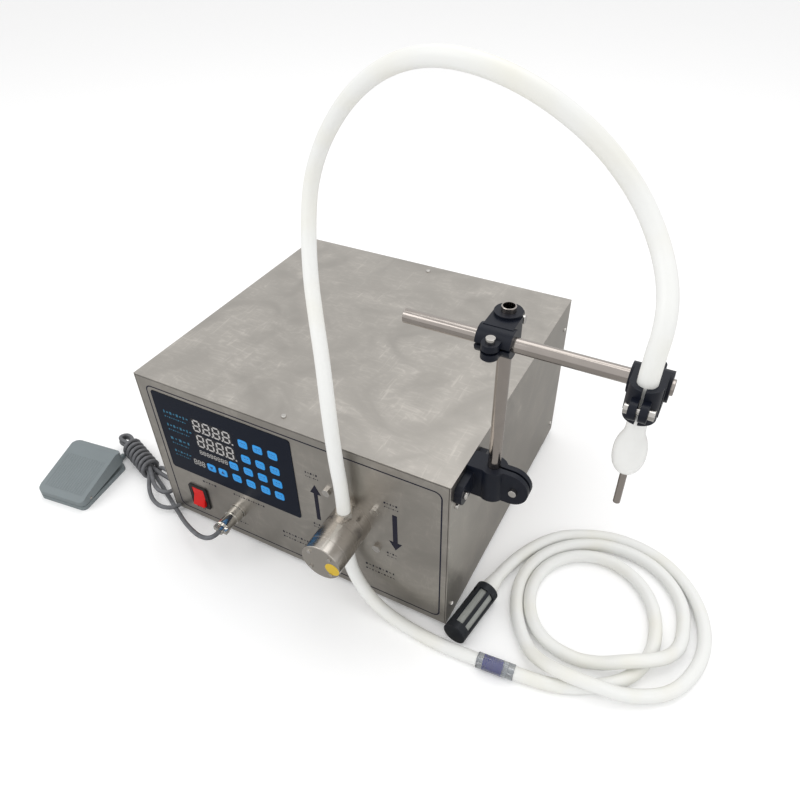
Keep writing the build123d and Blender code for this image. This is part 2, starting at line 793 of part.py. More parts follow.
# ---------------------------------------------------------------- mains inlet and power supply
with BuildPart() as mains_inlet:
    with BuildSketch(back_plane()):
        with Locations((inlet_x, inlet_z)):
            SlotOverall(50, 23)
    extrude(amount=2)
    with BuildSketch(back_plane()):
        with Locations((inlet_x, inlet_z)):
            Rectangle(inlet_width - 0.6, inlet_height - 0.6)
    extrude(amount=-22)
    with BuildSketch(back_plane(2)):
        with Locations((inlet_x, inlet_z)):
            Rectangle(24.5, 16.5)
    extrude(amount=-17, mode=Mode.SUBTRACT)
    with BuildSketch(back_plane(-15)):
        with Locations((inlet_x, inlet_z)):
            with Locations((-7, -3), (7, -3), (0, 1)):
                Rectangle(2, 4)
    extrude(amount=12)
    with BuildSketch(back_plane(2)):
        with Locations((inlet_x - 20, inlet_z), (inlet_x + 20, inlet_z)):
            Circle(screw_shank_radius)
    extrude(amount=0.5)
save(mains_inlet.part, "mains_inlet")

supply_x = cabinet_left + 110.0
supply_y = cabinet_back - 110.0
with BuildPart() as power_supply:
    with BuildSketch(Plane.XY.offset(cabinet_bottom + sheet)):
        with Locations((supply_x, supply_y)):
            Rectangle(98, 129)
    extrude(amount=38)
save(power_supply.part, "power_supply")

# ---------------------------------------------------------------- stand
def split_clamp(place, cross_bore):
    """Two split rings, one round local x and one round local z, joined back to back along local y."""
    ear_total = 2 * clamp_ear_thick + clamp_slit
    far = clamp_axis_gap + clamp_ear_reach
    with BuildPart(place) as body:
        Cylinder(clamp_radius, clamp_width, rotation=(0, 90, 0))
        with Locations((0, clamp_axis_gap, 0)):
            Cylinder(max(clamp_radius, cross_bore + 4), clamp_width)
        with Locations((0, clamp_axis_gap / 2, 0)):
            Box(clamp_width - 4, clamp_axis_gap, clamp_width - 4)
        with Locations((0, -clamp_ear_reach / 2, 0)):
            Box(2 * clamp_ear_radius, clamp_ear_reach, ear_total)
        with Locations((0, -clamp_ear_reach, 0)):
            Cylinder(clamp_ear_radius, ear_total)
        with Locations((0, clamp_axis_gap + clamp_ear_reach / 2, 0)):
            Box(ear_total, clamp_ear_reach, 2 * clamp_ear_radius)
        with Locations((0, far, 0)):
            Cylinder(clamp_ear_radius, ear_total, rotation=(0, 90, 0))
        Cylinder(tube_radius + running_gap, clamp_width + 2, rotation=(0, 90, 0), mode=Mode.SUBTRACT)
        with Locations((0, clamp_axis_gap, 0)):
            Cylinder(cross_bore, clamp_width + 2, mode=Mode.SUBTRACT)
        with Locations((0, -clamp_ear_reach, 0)):
            Box(clamp_width + 2, 2 * clamp_ear_reach, clamp_slit, mode=Mode.SUBTRACT)
        with Locations((0, far, 0)):
            Box(clamp_slit, 2 * clamp_ear_reach, clamp_width + 2, mode=Mode.SUBTRACT)
        with Locations((0, -clamp_ear_reach, 0)):
            Cylinder(clamp_screw_radius + 0.1, ear_total + 2, mode=Mode.SUBTRACT)
        with Locations((0, far, 0)):
            Cylinder(clamp_screw_radius + 0.1, ear_total + 2, rotation=(0, 90, 0), mode=Mode.SUBTRACT)
    return body.part


def clamp_screws(place):
    """The split clamp's two cap screws, each with its nut."""
    ear_half = clamp_ear_thick + clamp_slit / 2
    far = clamp_axis_gap + clamp_ear_reach
    head_mid = ear_half + clamp_screw_head_height / 2
    with BuildPart(place) as screws:
        with Locations((0, -clamp_ear_reach, 0)):
            Cylinder(clamp_screw_radius, 2 * ear_half)
        with Locations((0, -clamp_ear_reach, head_mid)):
            Cylinder(clamp_screw_head_radius, clamp_screw_head_height)
        with Locations((0, -clamp_ear_reach, -ear_half - 1.5)):
            Cylinder(clamp_screw_head_radius, 3)
        with Locations((0, far, 0)):
            Cylinder(clamp_screw_radius, 2 * ear_half, rotation=(0, 90, 0))
        with Locations((-head_mid, far, 0)):
            Cylinder(clamp_screw_head_radius, clamp_screw_head_height, rotation=(0, 90, 0))
        with Locations((ear_half + 1.5, far, 0)):
            Cylinder(clamp_screw_head_radius, 3, rotation=(0, 90, 0))
    return screws.part


cross_place = Plane(origin=(post_x, rail_y, rail_z), x_dir=(1, 0, 0), z_dir=(0, 0, 1))
nozzle_place = Plane(origin=(spout_x, rail_y, rail_z), x_dir=(-1, 0, 0), z_dir=(0, 0, 1))
save(split_clamp(cross_place, tube_radius + running_gap), "cross_clamp")
save(clamp_screws(cross_place), "cross_clamp_screws")
save(split_clamp(nozzle_place, hose_radius + running_gap), "nozzle_clamp")
save(clamp_screws(nozzle_place), "nozzle_clamp_screws")

with BuildPart() as upright_tube:
    with BuildSketch(Plane(origin=(post_x, post_y, cabinet_bottom + upright_low))):
        Circle(tube_radius)
        Circle(tube_radius - tube_wall, mode=Mode.SUBTRACT)
    extrude(amount=upright_high - upright_low)
save(upright_tube.part, "upright_tube")

with BuildPart() as arm_tube:
    rail_start = (cabinet_left + arm_left, rail_y, rail_z)
    with BuildSketch(Plane(origin=rail_start, x_dir=(0, 1, 0), z_dir=(1, 0, 0))):
        Circle(tube_radius)
        Circle(tube_radius - tube_wall, mode=Mode.SUBTRACT)
    extrude(amount=arm_right - arm_left)
save(arm_tube.part, "arm_tube")

base_low = cabinet_bottom + base_clamp_low
base_ring_radius = 12.0
base_ear_x = post_x + base_ring_radius + 5
base_mid_z = base_low + base_clamp_height / 2
base_foot_mid = (base_foot_front + base_foot_back) / 2
base_foot_span = base_foot_back - base_foot_front

with BuildPart() as base_clamp:
    with BuildSketch(side_plane(cabinet_right)):
        with Locations((base_foot_mid, base_clamp_z)):
            RectangleRounded(base_foot_span, base_foot_height, 8)
    extrude(amount=base_foot_thick)
    with BuildSketch(Plane(origin=(post_x, post_y, base_low))):
        Circle(base_ring_radius)
        with Locations(((base_ear_x - post_x) / 2, 0)):
            Rectangle(base_ear_x - post_x, 2 * clamp_ear_thick + clamp_slit)
        with Locations(((cabinet_right - post_x) / 2, 0)):
            Rectangle(post_x - cabinet_right, 20)
    extrude(amount=base_clamp_height)
    with BuildSketch(Plane(origin=(base_ear_x, post_y, base_mid_z), x_dir=(1, 0, 0), z_dir=(0, -1, 0))):
        Circle(base_clamp_height / 2)
    extrude(amount=clamp_ear_thick + clamp_slit / 2, both=True)
    with BuildSketch(Plane(origin=(post_x, post_y, base_low - 1))):
        Circle(tube_radius + running_gap)
    extrude(amount=base_clamp_height + 2, mode=Mode.SUBTRACT)
    with BuildSketch(Plane(origin=(post_x, post_y, base_low - 1))):
        with Locations((20, 0)):
            Rectangle(40, clamp_slit)
    extrude(amount=base_clamp_height + 2, mode=Mode.SUBTRACT)
    with BuildSketch(Plane(origin=(base_ear_x, post_y, base_mid_z), x_dir=(1, 0, 0), z_dir=(0, -1, 0))):
        with Locations((4, 0)):
            Circle(clamp_screw_radius + 0.1)
    extrude(amount=10, both=True, mode=Mode.SUBTRACT)
    with BuildSketch(side_plane(cabinet_right)):
        with Locations(*wall_screws):
            Circle(clamp_screw_radius + 0.1)
    extrude(amount=base_foot_thick, mode=Mode.SUBTRACT)
save(base_clamp.part, "base_clamp")

with BuildPart() as base_clamp_screws:
    base_ear_half = clamp_ear_thick + clamp_slit / 2
    with BuildSketch(Plane(origin=(base_ear_x, post_y, base_mid_z), x_dir=(1, 0, 0), z_dir=(0, -1, 0))):
        with Locations((4, 0)):
            Circle(clamp_screw_radius)
    extrude(amount=base_ear_half, both=True)
    for side in (-1, 1):
        seat_y = post_y + side * base_ear_half
        with BuildSketch(Plane(origin=(base_ear_x, seat_y, base_mid_z), x_dir=(1, 0, 0), z_dir=(0, side, 0))):
            with Locations((4, 0)):
                Circle(clamp_screw_head_radius)
        extrude(amount=clamp_screw_head_height if side < 0 else 3)
    with BuildSketch(side_plane(cabinet_right)):
        with Locations(*wall_screws):
            Circle(screw_shank_radius)
    extrude(amount=-5)
    with BuildSketch(side_plane(cabinet_right)):
        with Locations(*wall_screws):
            Circle(screw_shank_radius)
    extrude(amount=base_foot_thick)
    with BuildSketch(side_plane(cabinet_right + base_foot_thick)):
        with Locations(*wall_screws):
            Circle(clamp_screw_head_radius)
    extrude(amount=2.2)
save(base_clamp_screws.part, "base_clamp_screws")

# ---------------------------------------------------------------- nozzle
def height(above_cabinet_bottom):
    """Height above the bench of a height above the cabinet's bottom."""
    return cabinet_bottom + above_cabinet_bottom


hose_end_z = outlet_route[-1][2]
chamber_wall_radius = poppet_radius + 1.2

with BuildPart() as nozzle_body:
    with BuildSketch(Plane(origin=(spout_x, spout_y, 0), x_dir=(1, 0, 0), z_dir=(0, -1, 0))):
        with BuildLine():
            Polyline(
                (nozzle_throat, height(nozzle_cone_low)), (4.5, height(nozzle_cone_low)),
                (nozzle_bulb_radius, height(nozzle_bulb_low)),
                (nozzle_bulb_radius, height(nozzle_bulb_top - 6)), (hose_radius - 0.2, height(nozzle_bulb_top)),
                (hose_radius, hose_end_z), (barb_radius, hose_end_z), (barb_radius, hose_end_z + barb_length),
                (nozzle_throat, hose_end_z + barb_length), (nozzle_throat, height(nozzle_bulb_top - 4)),
                (chamber_wall_radius, height(nozzle_bulb_top - 4)),
                (chamber_wall_radius, height(nozzle_bulb_low - 1)), (nozzle_throat, height(nozzle_bulb_low - 1)),
                close=True,
            )
        make_face()
    revolve(axis=Axis((spout_x, spout_y, 0), (0, 0, 1)))
save(nozzle_body.part, "nozzle_body")

with BuildPart() as nozzle_tip:
    with BuildSketch(Plane(origin=(spout_x, spout_y, height(nozzle_tip_low)))):
        Circle(nozzle_tip_radius)
    extrude(amount=nozzle_cone_low - nozzle_tip_low)
    with BuildSketch(Plane(origin=(spout_x, spout_y, height(nozzle_cone_low)))):
        Circle(nozzle_shank_radius)
    extrude(amount=nozzle_bulb_low - 3 - nozzle_cone_low)
    with BuildSketch(Plane(origin=(spout_x, spout_y, height(nozzle_tip_low)))):
        Circle(nozzle_tip_bore)
    extrude(amount=nozzle_bulb_low - nozzle_tip_low, mode=Mode.SUBTRACT)
save(nozzle_tip.part, "nozzle_tip")

chamber_top = height(nozzle_bulb_top - 4)
chamber_low = height(nozzle_bulb_low - 1)
poppet_top = chamber_top - 0.1
poppet_disc = 4.0

with BuildPart() as nozzle_poppet:
    with BuildSketch(Plane(origin=(spout_x, spout_y, poppet_top - poppet_disc))):
        Circle(poppet_radius)
    extrude(amount=poppet_disc)
    chamfer(nozzle_poppet.edges().group_by(Axis.Z)[-1], 1.0)
    with BuildSketch(Plane(origin=(spout_x, spout_y, poppet_top - poppet_disc))):
        Circle(1.6)
    extrude(amount=-6)
save(nozzle_poppet.part, "nozzle_poppet")


def coil_spring(base, radius, height_free, wire, turns):
    """Compression spring with its axis up from the base point."""
    rise = height_free - 2 * wire
    with BuildPart() as spring:
        with BuildLine(Plane(origin=(base[0], base[1], base[2] + wire))):
            path = Helix(pitch=rise / turns, height=rise, radius=radius)
        with BuildSketch(Plane(origin=path @ 0, z_dir=path % 0)):
            Circle(wire)
        sweep(path=path, is_frenet=True)
    return spring.part


spring_room = poppet_top - poppet_disc - chamber_low - 0.1
save(
    coil_spring((spout_x, spout_y, chamber_low + 0.05), 2.9, spring_room, spring_wire, 5),
    "nozzle_spring",
)

# ---------------------------------------------------------------- cords
def corner_radii(points):
    """Largest even arc radius at each corner of a route."""
    radii = []
    for before, corner, after in zip(points, points[1:], points[2:]):
        arriving = Vector(*corner) - Vector(*before)
        leaving = Vector(*after) - Vector(*corner)
        turn = radians(arriving.get_angle(leaving))
        radii.append(run_share * min(arriving.length, leaving.length) / tan(turn / 2))
    return radii


def middle(first, second):
    """Point half way between two points."""
    return tuple((a + b) / 2 for a, b in zip(first, second))


def tube(points, radii, name, outer, bore=0.0):
    """Tube along straight runs joined by tangent arcs."""
    with BuildPart() as piece:
        with BuildLine():
            path = FilletPolyline(*points, radius=radii)
        with BuildSketch(Plane(origin=path @ 0, z_dir=path % 0)):
            Circle(outer)
            if bore > 0:
                Circle(bore, mode=Mode.SUBTRACT)
        sweep(path=path)
    section = pi * (outer ** 2 - bore ** 2)
    length = path.length
    radii_text = ", ".join(f"{radius:.0f}" for radius in radii)
    print(f"{name}: length {length:.1f}, radii {radii_text}, volume ratio {piece.part.volume / section / length:.5f}")
    save(piece.part, name)


outlet_radii = corner_radii(outlet_route)
span_ends = [0] + outlet_splits + [len(outlet_route) - 1]
for number, (first, last) in enumerate(zip(span_ends, span_ends[1:]), start=1):
    start = [outlet_route[0]] if first == 0 else [middle(outlet_route[first], outlet_route[first + 1])]
    at_end = last == len(outlet_route) - 1
    finish = [outlet_route[-1]] if at_end else [middle(outlet_route[last], outlet_route[last + 1])]
    last_corner = last - 1 if at_end else last
    corners = outlet_route[first + 1:last_corner + 1]
    tube(start + corners + finish, outlet_radii[first:last_corner], f"outlet_hose_{number}", hose_radius, hose_bore)

tube(intake_route, corner_radii(intake_route), "intake_hose_1", hose_radius, hose_bore)
tube(lead_route, corner_radii(lead_route), "intake_hose_2", hose_radius, hose_bore)
tube(tail_route, corner_radii(tail_route), "intake_hose_3", hose_radius, hose_bore)
tube(cable_route, corner_radii(cable_route), "pedal_cable", cable_radius)

with BuildPart() as intake_coil:
    with BuildSketch():
        with Locations(coil_centre):
            Circle(coil_radius)
        with Locations(coil_hole_centre):
            Circle(coil_hole_radius, mode=Mode.SUBTRACT)
    extrude(amount=coil_height)
save(intake_coil.part, "intake_coil")

hank_run = Vector(*hank_neck) - Vector(*hank_start)
with BuildPart() as cable_hank:
    with BuildSketch(Plane(origin=(*hank_start, hank_radius), x_dir=(0, 0, 1), z_dir=hank_run.normalized())):
        Circle(hank_radius)
    extrude(amount=hank_run.length)
    with BuildSketch():
        with BuildLine():
            Polyline(*hank_fan, close=True)
        make_face()
    extrude(amount=hank_fan_height)
save(cable_hank.part, "cable_hank")

# ---------------------------------------------------------------- check valve and strainer
valve_along = (Vector(*intake_route[-1]) - Vector(*intake_route[-2])).normalized()
valve_plane = Plane(origin=intake_route[-1], x_dir=(0, 0, 1), z_dir=valve_along)
valve_cap = 6.0
core_radius = valve_radius - valve_wall
core_bore = 4.2
ball_radius = 3.6
with BuildPart() as check_valve_body:
    with BuildSketch(valve_plane):
        Circle(valve_radius)
    extrude(amount=valve_length)
    with BuildSketch(valve_plane.offset(valve_cap)):
        Circle(core_radius)
    extrude(amount=valve_length - 2 * valve_cap, mode=Mode.SUBTRACT)
    for seat, out in ((valve_plane, -1), (valve_plane.offset(valve_length), 1)):
        with BuildSketch(seat):
            Circle(barb_radius)
        extrude(amount=out * 12)
    with BuildSketch(valve_plane.offset(-13)):
        Circle(2.4)
    extrude(amount=valve_length + 26, mode=Mode.SUBTRACT)
save(check_valve_body.part, "check_valve_body")

core_length = valve_length - 2 * valve_cap - 5
seat_thick = 3.0
with BuildPart() as check_valve_core:
    with BuildSketch(valve_plane.offset(valve_cap)):
        Circle(core_radius)
        Circle(core_bore, mode=Mode.SUBTRACT)
    extrude(amount=core_length)
    with BuildSketch(valve_plane.offset(valve_cap + core_length - seat_thick)):
        Circle(core_radius)
        Circle(2.2, mode=Mode.SUBTRACT)
    extrude(amount=seat_thick)
save(check_valve_core.part, "check_valve_core")

ball_place = valve_plane.offset(valve_cap + core_length - seat_thick - ball_radius - 0.1)
with BuildPart(ball_place) as check_valve_ball:
    Sphere(ball_radius)
save(check_valve_ball.part, "check_valve_ball")

strainer_end = Vector(*tail_route[-1])
strainer_along = (Vector(*tail_route[-1]) - Vector(*tail_route[-2])).normalized()
strainer_plane = Plane(origin=strainer_end, x_dir=(0, 0, 1), z_dir=strainer_along)
rib_width = 3.4
rib_thick = 2.0
with BuildPart() as strainer_cage:
    with BuildSketch(strainer_plane):
        Circle(strainer_radius)
    extrude(amount=strainer_length)
    with BuildSketch(strainer_plane.offset(3)):
        Circle(strainer_radius - rib_thick)
    extrude(amount=strainer_length - 7, mode=Mode.SUBTRACT)
    with BuildSketch(strainer_plane.offset(strainer_ring)):
        Circle(strainer_radius + 1)
        with PolarLocations(strainer_radius / 2, strainer_ribs, start_angle=30):
            Rectangle(strainer_radius + 4, rib_width, mode=Mode.SUBTRACT)
    extrude(amount=strainer_length - 2 * strainer_ring, mode=Mode.SUBTRACT)
    with BuildSketch(strainer_plane):
        Circle(barb_radius)
    extrude(amount=-13)
    with BuildSketch(strainer_plane.offset(-14)):
        Circle(2.6)
    extrude(amount=18, mode=Mode.SUBTRACT)
save(strainer_cage.part, "strainer_cage")

with BuildPart() as strainer_mesh:
    with BuildSketch(strainer_plane.offset(3)):
        Circle(mesh_radius)
        Circle(mesh_radius - mesh_wall, mode=Mode.SUBTRACT)
    extrude(amount=strainer_length - 7)
save(strainer_mesh.part, "strainer_mesh")

# ---------------------------------------------------------------- foot pedal
pedal_across = (cos(radians(pedal_turn)), sin(radians(pedal_turn)), 0)
pedal_back = (-sin(radians(pedal_turn)), cos(radians(pedal_turn)), 0)
pedal_floor = Plane(origin=(pedal_x, pedal_y, 0), x_dir=pedal_across, z_dir=(0, 0, 1))
pedal_side = Plane(origin=(pedal_x, pedal_y, 0), x_dir=pedal_back, z_dir=pedal_across)
pivot_y = -pedal_length / 2 + pedal_pivot_setback
treadle_front = -pedal_length / 2
treadle_back = pedal_length / 2
treadle_low_front = pedal_base_height + 0.8
treadle_low_back = pedal_base_height + 7.0
ear_thick = 4.0
ear_outer = pedal_width / 2 - pedal_wall - pedal_gap

with BuildPart() as pedal_base:
    with BuildSketch(pedal_floor):
        RectangleRounded(pedal_width, pedal_length, pedal_corner)
    extrude(amount=pedal_base_height)
    with BuildSketch(pedal_floor.offset(pedal_base_height)):
        Rectangle(pedal_width - 2 * pedal_wall - 8, pedal_length - 2 * pedal_wall - 8)
    extrude(amount=-3, mode=Mode.SUBTRACT)
    for side in (-1, 1):
        with BuildSketch(pedal_side.offset(side * ear_outer)):
            with Locations((pivot_y, (pedal_pivot_z + pedal_base_height - 1) / 2)):
                Rectangle(8, pedal_pivot_z - pedal_base_height + 1)
            with Locations((pivot_y, pedal_pivot_z)):
                Circle(4)
        extrude(amount=-side * ear_thick)
    with BuildSketch(pedal_side):
        with Locations((pivot_y, pedal_pivot_z)):
            Circle(pedal_pin_radius)
    extrude(amount=pedal_width, both=True, mode=Mode.SUBTRACT)
    with BuildSketch(Plane(origin=pedal_side.origin + Vector(*pedal_back) * (treadle_back - 4) + Vector(0, 0, 3),
                           x_dir=pedal_across, z_dir=pedal_back)):
        with Locations((18, -0.6)):
            Circle(3.5)
    extrude(amount=4 + pedal_gland_reach)
save(pedal_base.part, "pedal_base")

with BuildPart() as pedal_treadle:
    with BuildSketch(pedal_side):
        with BuildLine():
            Polyline(
                (treadle_front, treadle_low_front), (treadle_front, pedal_toe_height - 3),
                (treadle_front + 8, pedal_toe_height + 1), (treadle_back - 10, pedal_heel_height),
                (treadle_back, pedal_heel_height - 3), (treadle_back, treadle_low_back),
                (pivot_y, treadle_low_front), close=True,
            )
        make_face()
    extrude(amount=pedal_width / 2, both=True)
    upright_edges = pedal_treadle.edges().filter_by(Axis.Z)
    fillet(upright_edges, pedal_corner)
    with BuildSketch(pedal_side):
        with BuildLine():
            wall = pedal_wall
            Polyline(
                (treadle_front + wall, treadle_low_front - 2), (treadle_front + wall, pedal_toe_height - 3 - wall),
                (treadle_front + 8, pedal_toe_height + 1 - wall), (treadle_back - 10, pedal_heel_height - wall),
                (treadle_back - wall, pedal_heel_height - 3 - wall), (treadle_back - wall, treadle_low_back - 2),
                (pivot_y, treadle_low_front - 2), close=True,
            )
        make_face()
    extrude(amount=pedal_width / 2 - pedal_wall, both=True, mode=Mode.SUBTRACT)
    with BuildSketch(pedal_side):
        with Locations((pivot_y, pedal_pivot_z)):
            Circle(pedal_pin_radius + running_gap)
    extrude(amount=pedal_width, both=True, mode=Mode.SUBTRACT)
save(pedal_treadle.part, "pedal_treadle")

with BuildPart() as pedal_pin:
    with BuildSketch(pedal_side):
        with Locations((pivot_y, pedal_pivot_z)):
            Circle(pedal_pin_radius)
    extrude(amount=pedal_width / 2 + 0.5, both=True)
save(pedal_pin.part, "pedal_pin")

spring_along = 14.0
spring_foot = pedal_side.origin + Vector(*pedal_back) * spring_along + Vector(0, 0, pedal_base_height - 3)
treadle_slope = (pedal_heel_height - pedal_toe_height - 1) / (pedal_length - 18)
ceiling = pedal_toe_height + 1 - pedal_wall + treadle_slope * (spring_along - 5 - treadle_front - 8)
save(
    coil_spring(tuple(spring_foot), 4.4, ceiling - pedal_base_height + 3 - 0.3, 0.6, 6),
    "pedal_spring",
)

with BuildPart() as pedal_switch:
    with BuildSketch(pedal_floor.offset(pedal_base_height - 3)):
        with Locations((0, -8)):
            Rectangle(20, 7)
    extrude(amount=10)
    with BuildSketch(pedal_floor.offset(pedal_base_height + 7)):
        with Locations((4, -8)):
            Circle(1.4)
    extrude(amount=1.2)
save(pedal_switch.part, "pedal_switch")
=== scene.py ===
"""Looks of a bench-top magnetic-drive liquid filler: cabinet, pump, stand, hoses, strainer and foot pedal.

Lengths are metres in the shared frame. Each sub-assembly is a class that holds its own sizes.
"""

import json
import logging
import math
from dataclasses import dataclass
from enum import Enum
from typing import Callable, Iterable, Sequence

import bmesh
import bpy
from mathutils import Matrix, Vector

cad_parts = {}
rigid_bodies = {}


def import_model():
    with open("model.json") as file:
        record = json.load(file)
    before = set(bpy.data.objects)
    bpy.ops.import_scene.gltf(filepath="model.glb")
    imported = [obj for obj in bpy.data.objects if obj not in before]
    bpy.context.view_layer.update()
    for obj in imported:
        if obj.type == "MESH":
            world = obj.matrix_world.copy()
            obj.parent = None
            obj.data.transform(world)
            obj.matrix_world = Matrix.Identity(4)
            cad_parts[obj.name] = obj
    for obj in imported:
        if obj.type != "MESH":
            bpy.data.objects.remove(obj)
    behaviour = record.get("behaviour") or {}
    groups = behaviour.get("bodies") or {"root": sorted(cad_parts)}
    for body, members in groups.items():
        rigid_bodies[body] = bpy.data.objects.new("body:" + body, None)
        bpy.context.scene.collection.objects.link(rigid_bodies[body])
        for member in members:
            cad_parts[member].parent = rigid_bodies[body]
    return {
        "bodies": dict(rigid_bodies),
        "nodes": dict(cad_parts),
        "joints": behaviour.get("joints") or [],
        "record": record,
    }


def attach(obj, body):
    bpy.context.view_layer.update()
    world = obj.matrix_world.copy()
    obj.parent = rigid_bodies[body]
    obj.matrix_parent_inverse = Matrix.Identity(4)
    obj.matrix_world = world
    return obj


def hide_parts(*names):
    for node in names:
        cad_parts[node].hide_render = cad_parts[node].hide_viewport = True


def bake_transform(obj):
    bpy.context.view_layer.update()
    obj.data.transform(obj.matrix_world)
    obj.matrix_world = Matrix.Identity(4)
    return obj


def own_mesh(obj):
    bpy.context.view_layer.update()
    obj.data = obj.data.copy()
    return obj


LOG = logging.getLogger("filler")
MM = 0.001
Point = tuple[float, float, float]

# the cabinet's left wall, front face and lower edge
LEFT, FRONT, BOTTOM = -161 * MM, -133.5 * MM, 6 * MM
PEDAL_CENTRE = Vector((-292.7 * MM, -153.9 * MM, 0.0))
PEDAL_TURN = math.radians(7.0)
PUMP_AXIS = Vector((89 * MM, -133.5 * MM, 110.5 * MM))
RIB_PITCH, RIB_REACH, RIB_WIDTH = 3.6 * MM, 27.5 * MM, 23 * MM
WEAVE = 5200  # threads of the mesh, in radians per metre
SHARP = math.radians(32)  # a spun piece's edges above this are shaded hard
BEVELLED = math.radians(38)  # edges above this are rounded
FLAT = math.radians(0.6)  # faces closer than this are one
MERGE, WELD = 2e-6, 1e-6  # corners closer than this are one, in an outline and at the end


# ------------------------------------------------------------------ shader maths
class Sock:
    """A shader socket that adds Math nodes when it is used in a sum."""

    def __init__(self, paint: "Paint", socket: bpy.types.NodeSocket) -> None:
        """Keep the material under construction and the output socket."""
        self.paint = paint
        self.socket = socket

    def _sum(self, operation: str, first: object, second: object = 0.0) -> "Sock":
        """Add one Math node on Socks or numbers."""
        return self.paint.node("ShaderNodeMath", {"operation": operation}, {0: first, 1: second})

    def __add__(self, other: object) -> "Sock":
        """Sum."""
        return self._sum("ADD", self, other)

    __radd__ = __add__

    def __mul__(self, other: object) -> "Sock":
        """Product."""
        return self._sum("MULTIPLY", self, other)

    __rmul__ = __mul__

    def __sub__(self, other: object) -> "Sock":
        """Difference."""
        return self._sum("SUBTRACT", self, other)

    def __rsub__(self, other: object) -> "Sock":
        """Reflected difference."""
        return self._sum("SUBTRACT", other, self)

    def __gt__(self, other: object) -> "Sock":
        """One where larger."""
        return self._sum("GREATER_THAN", self, other)

    def __lt__(self, other: object) -> "Sock":
        """One where smaller."""
        return self._sum("LESS_THAN", self, other)

    def __abs__(self) -> "Sock":
        """Absolute value."""
        return self._sum("ABSOLUTE", self)

    def sine(self) -> "Sock":
        """Sine."""
        return self._sum("SINE", self)

    def clamped(self) -> "Sock":
        """Held between zero and one."""
        return self.paint.node("ShaderNodeClamp", {}, {"Value": self})


class Paint:
    """One material under construction on the Principled shader."""

    def __init__(self, name: str) -> None:
        """Start an empty material.

        Args:
            name: the material's name.
        """
        self.material = bpy.data.materials.new(name)
        self.material.use_nodes = True
        self.tree = self.material.node_tree
        self.shader = self.tree.nodes["Principled BSDF"]

    def node(self, kind: str, settings: dict[str, object], inputs: dict[object, object], output: object = 0) -> Sock:
        """Add one node, set it and link its inputs.

        Args:
            kind: the node's type name.
            settings: properties set before the inputs.
            inputs: socket name or index to a Sock, number, colour or vector.
            output: which output to give back.

        Returns:
            The chosen output.
        """
        made = self.tree.nodes.new(kind)
        for name, value in settings.items():
            setattr(made, name, value)
        for name, value in inputs.items():
            if isinstance(value, Sock):
                self.tree.links.new(value.socket, made.inputs[name])
            else:
                made.inputs[name].default_value = value
        return Sock(self, made.outputs[output])

    def place(self, scale: Point = (1, 1, 1), turn: Point = (0, 0, 0), centre: Point = (0, 0, 0)) -> Sock:
        """Object coordinates, moved to a centre, turned and stretched.

        Args:
            scale: stretch along each axis after the turn.
            turn: Euler angles in radians.
            centre: the point that becomes the origin.

        Returns:
            A vector output.
        """
        where = self.node("ShaderNodeTexCoord", {}, {}, "Object")
        moved = self.node("ShaderNodeVectorMath", {"operation": "SUBTRACT"}, {0: where, 1: centre})
        return self.node("ShaderNodeMapping", {}, {"Vector": moved, "Rotation": turn, "Scale": scale})

    def noise(self, scale: float, detail: float = 3.0, where: Sock | None = None, twist: float = 0.0) -> Sock:
        """A noise value near one half, in lumps per metre, with octaves of detail and a distortion."""
        return self.node(
            "ShaderNodeTexNoise", {},
            {"Vector": where or self.place(), "Scale": scale, "Detail": detail, "Distortion": twist}, "Fac",
        )

    def blend(self, share: object, first: object, second: object) -> Sock:
        """Mix two colours, with a share of the second."""
        return self.node("ShaderNodeMix", {"data_type": "RGBA"}, {0: share, 6: first, 7: second}, 2)

    def axis(self, where: Sock, name: str) -> Sock:
        """One axis, X, Y or Z, of a vector."""
        return self.node("ShaderNodeSeparateXYZ", {}, {"Vector": where}, name)

    def bump(self, height: Sock, depth: float, strength: float = 1.0) -> None:
        """Feed a height, worth a depth in metres, to the shader's normal."""
        normal = self.node("ShaderNodeBump", {}, {"Height": height, "Distance": depth, "Strength": strength})
        self.tree.links.new(normal.socket, self.shader.inputs["Normal"])

    def set(self, **values: object) -> None:
        """Set or link the shader's sockets, with underscores for spaces.

        Args:
            values: socket name to number, colour or Sock.
        """
        for name, value in values.items():
            slot = self.shader.inputs[name.replace("_", " ")]
            if isinstance(value, Sock):
                self.tree.links.new(value.socket, slot)
            else:
                slot.default_value = value


class Grain(Enum):
    """How a finish was made."""

    SHEET = "storage-scuffed brushed sheet"
    TURNED = "lathe-turned steel"
    DRAWN = "drawn and polished tube"
    PLATED = "bright plating"
    CAST = "cast or painted metal"
    MOULDED = "moulded plastic"
    PRINTED = "printed film or ink"
    HOSE = "milky silicone"
    SHEATH = "vinyl cable sheath"
    CLEAR = "clear moulding"
    WOVEN = "woven mesh"
    RIBBED = "moulded plastic with fine ribs"


@dataclass(frozen=True)
class Skin:
    """How an even skin varies: its clouds per metre, tones, roughness swing and bump."""

    cloud: float
    dark: float
    light: float
    swing: float
    depth: float
    strength: float
    grain: float = 0.0


SKINS = {
    Grain.PLATED: Skin(220.0, 0.85, 1.05, 0.18, 0.00001, 0.15),
    Grain.CAST: Skin(40.0, 0.9, 1.1, 0.2, 0.00006, 0.5, grain=900.0),
    Grain.MOULDED: Skin(30.0, 0.88, 1.12, 0.18, 0.00004, 0.4, grain=1400.0),
    Grain.PRINTED: Skin(90.0, 0.92, 1.08, 0.1, 0.00001, 0.2),
}


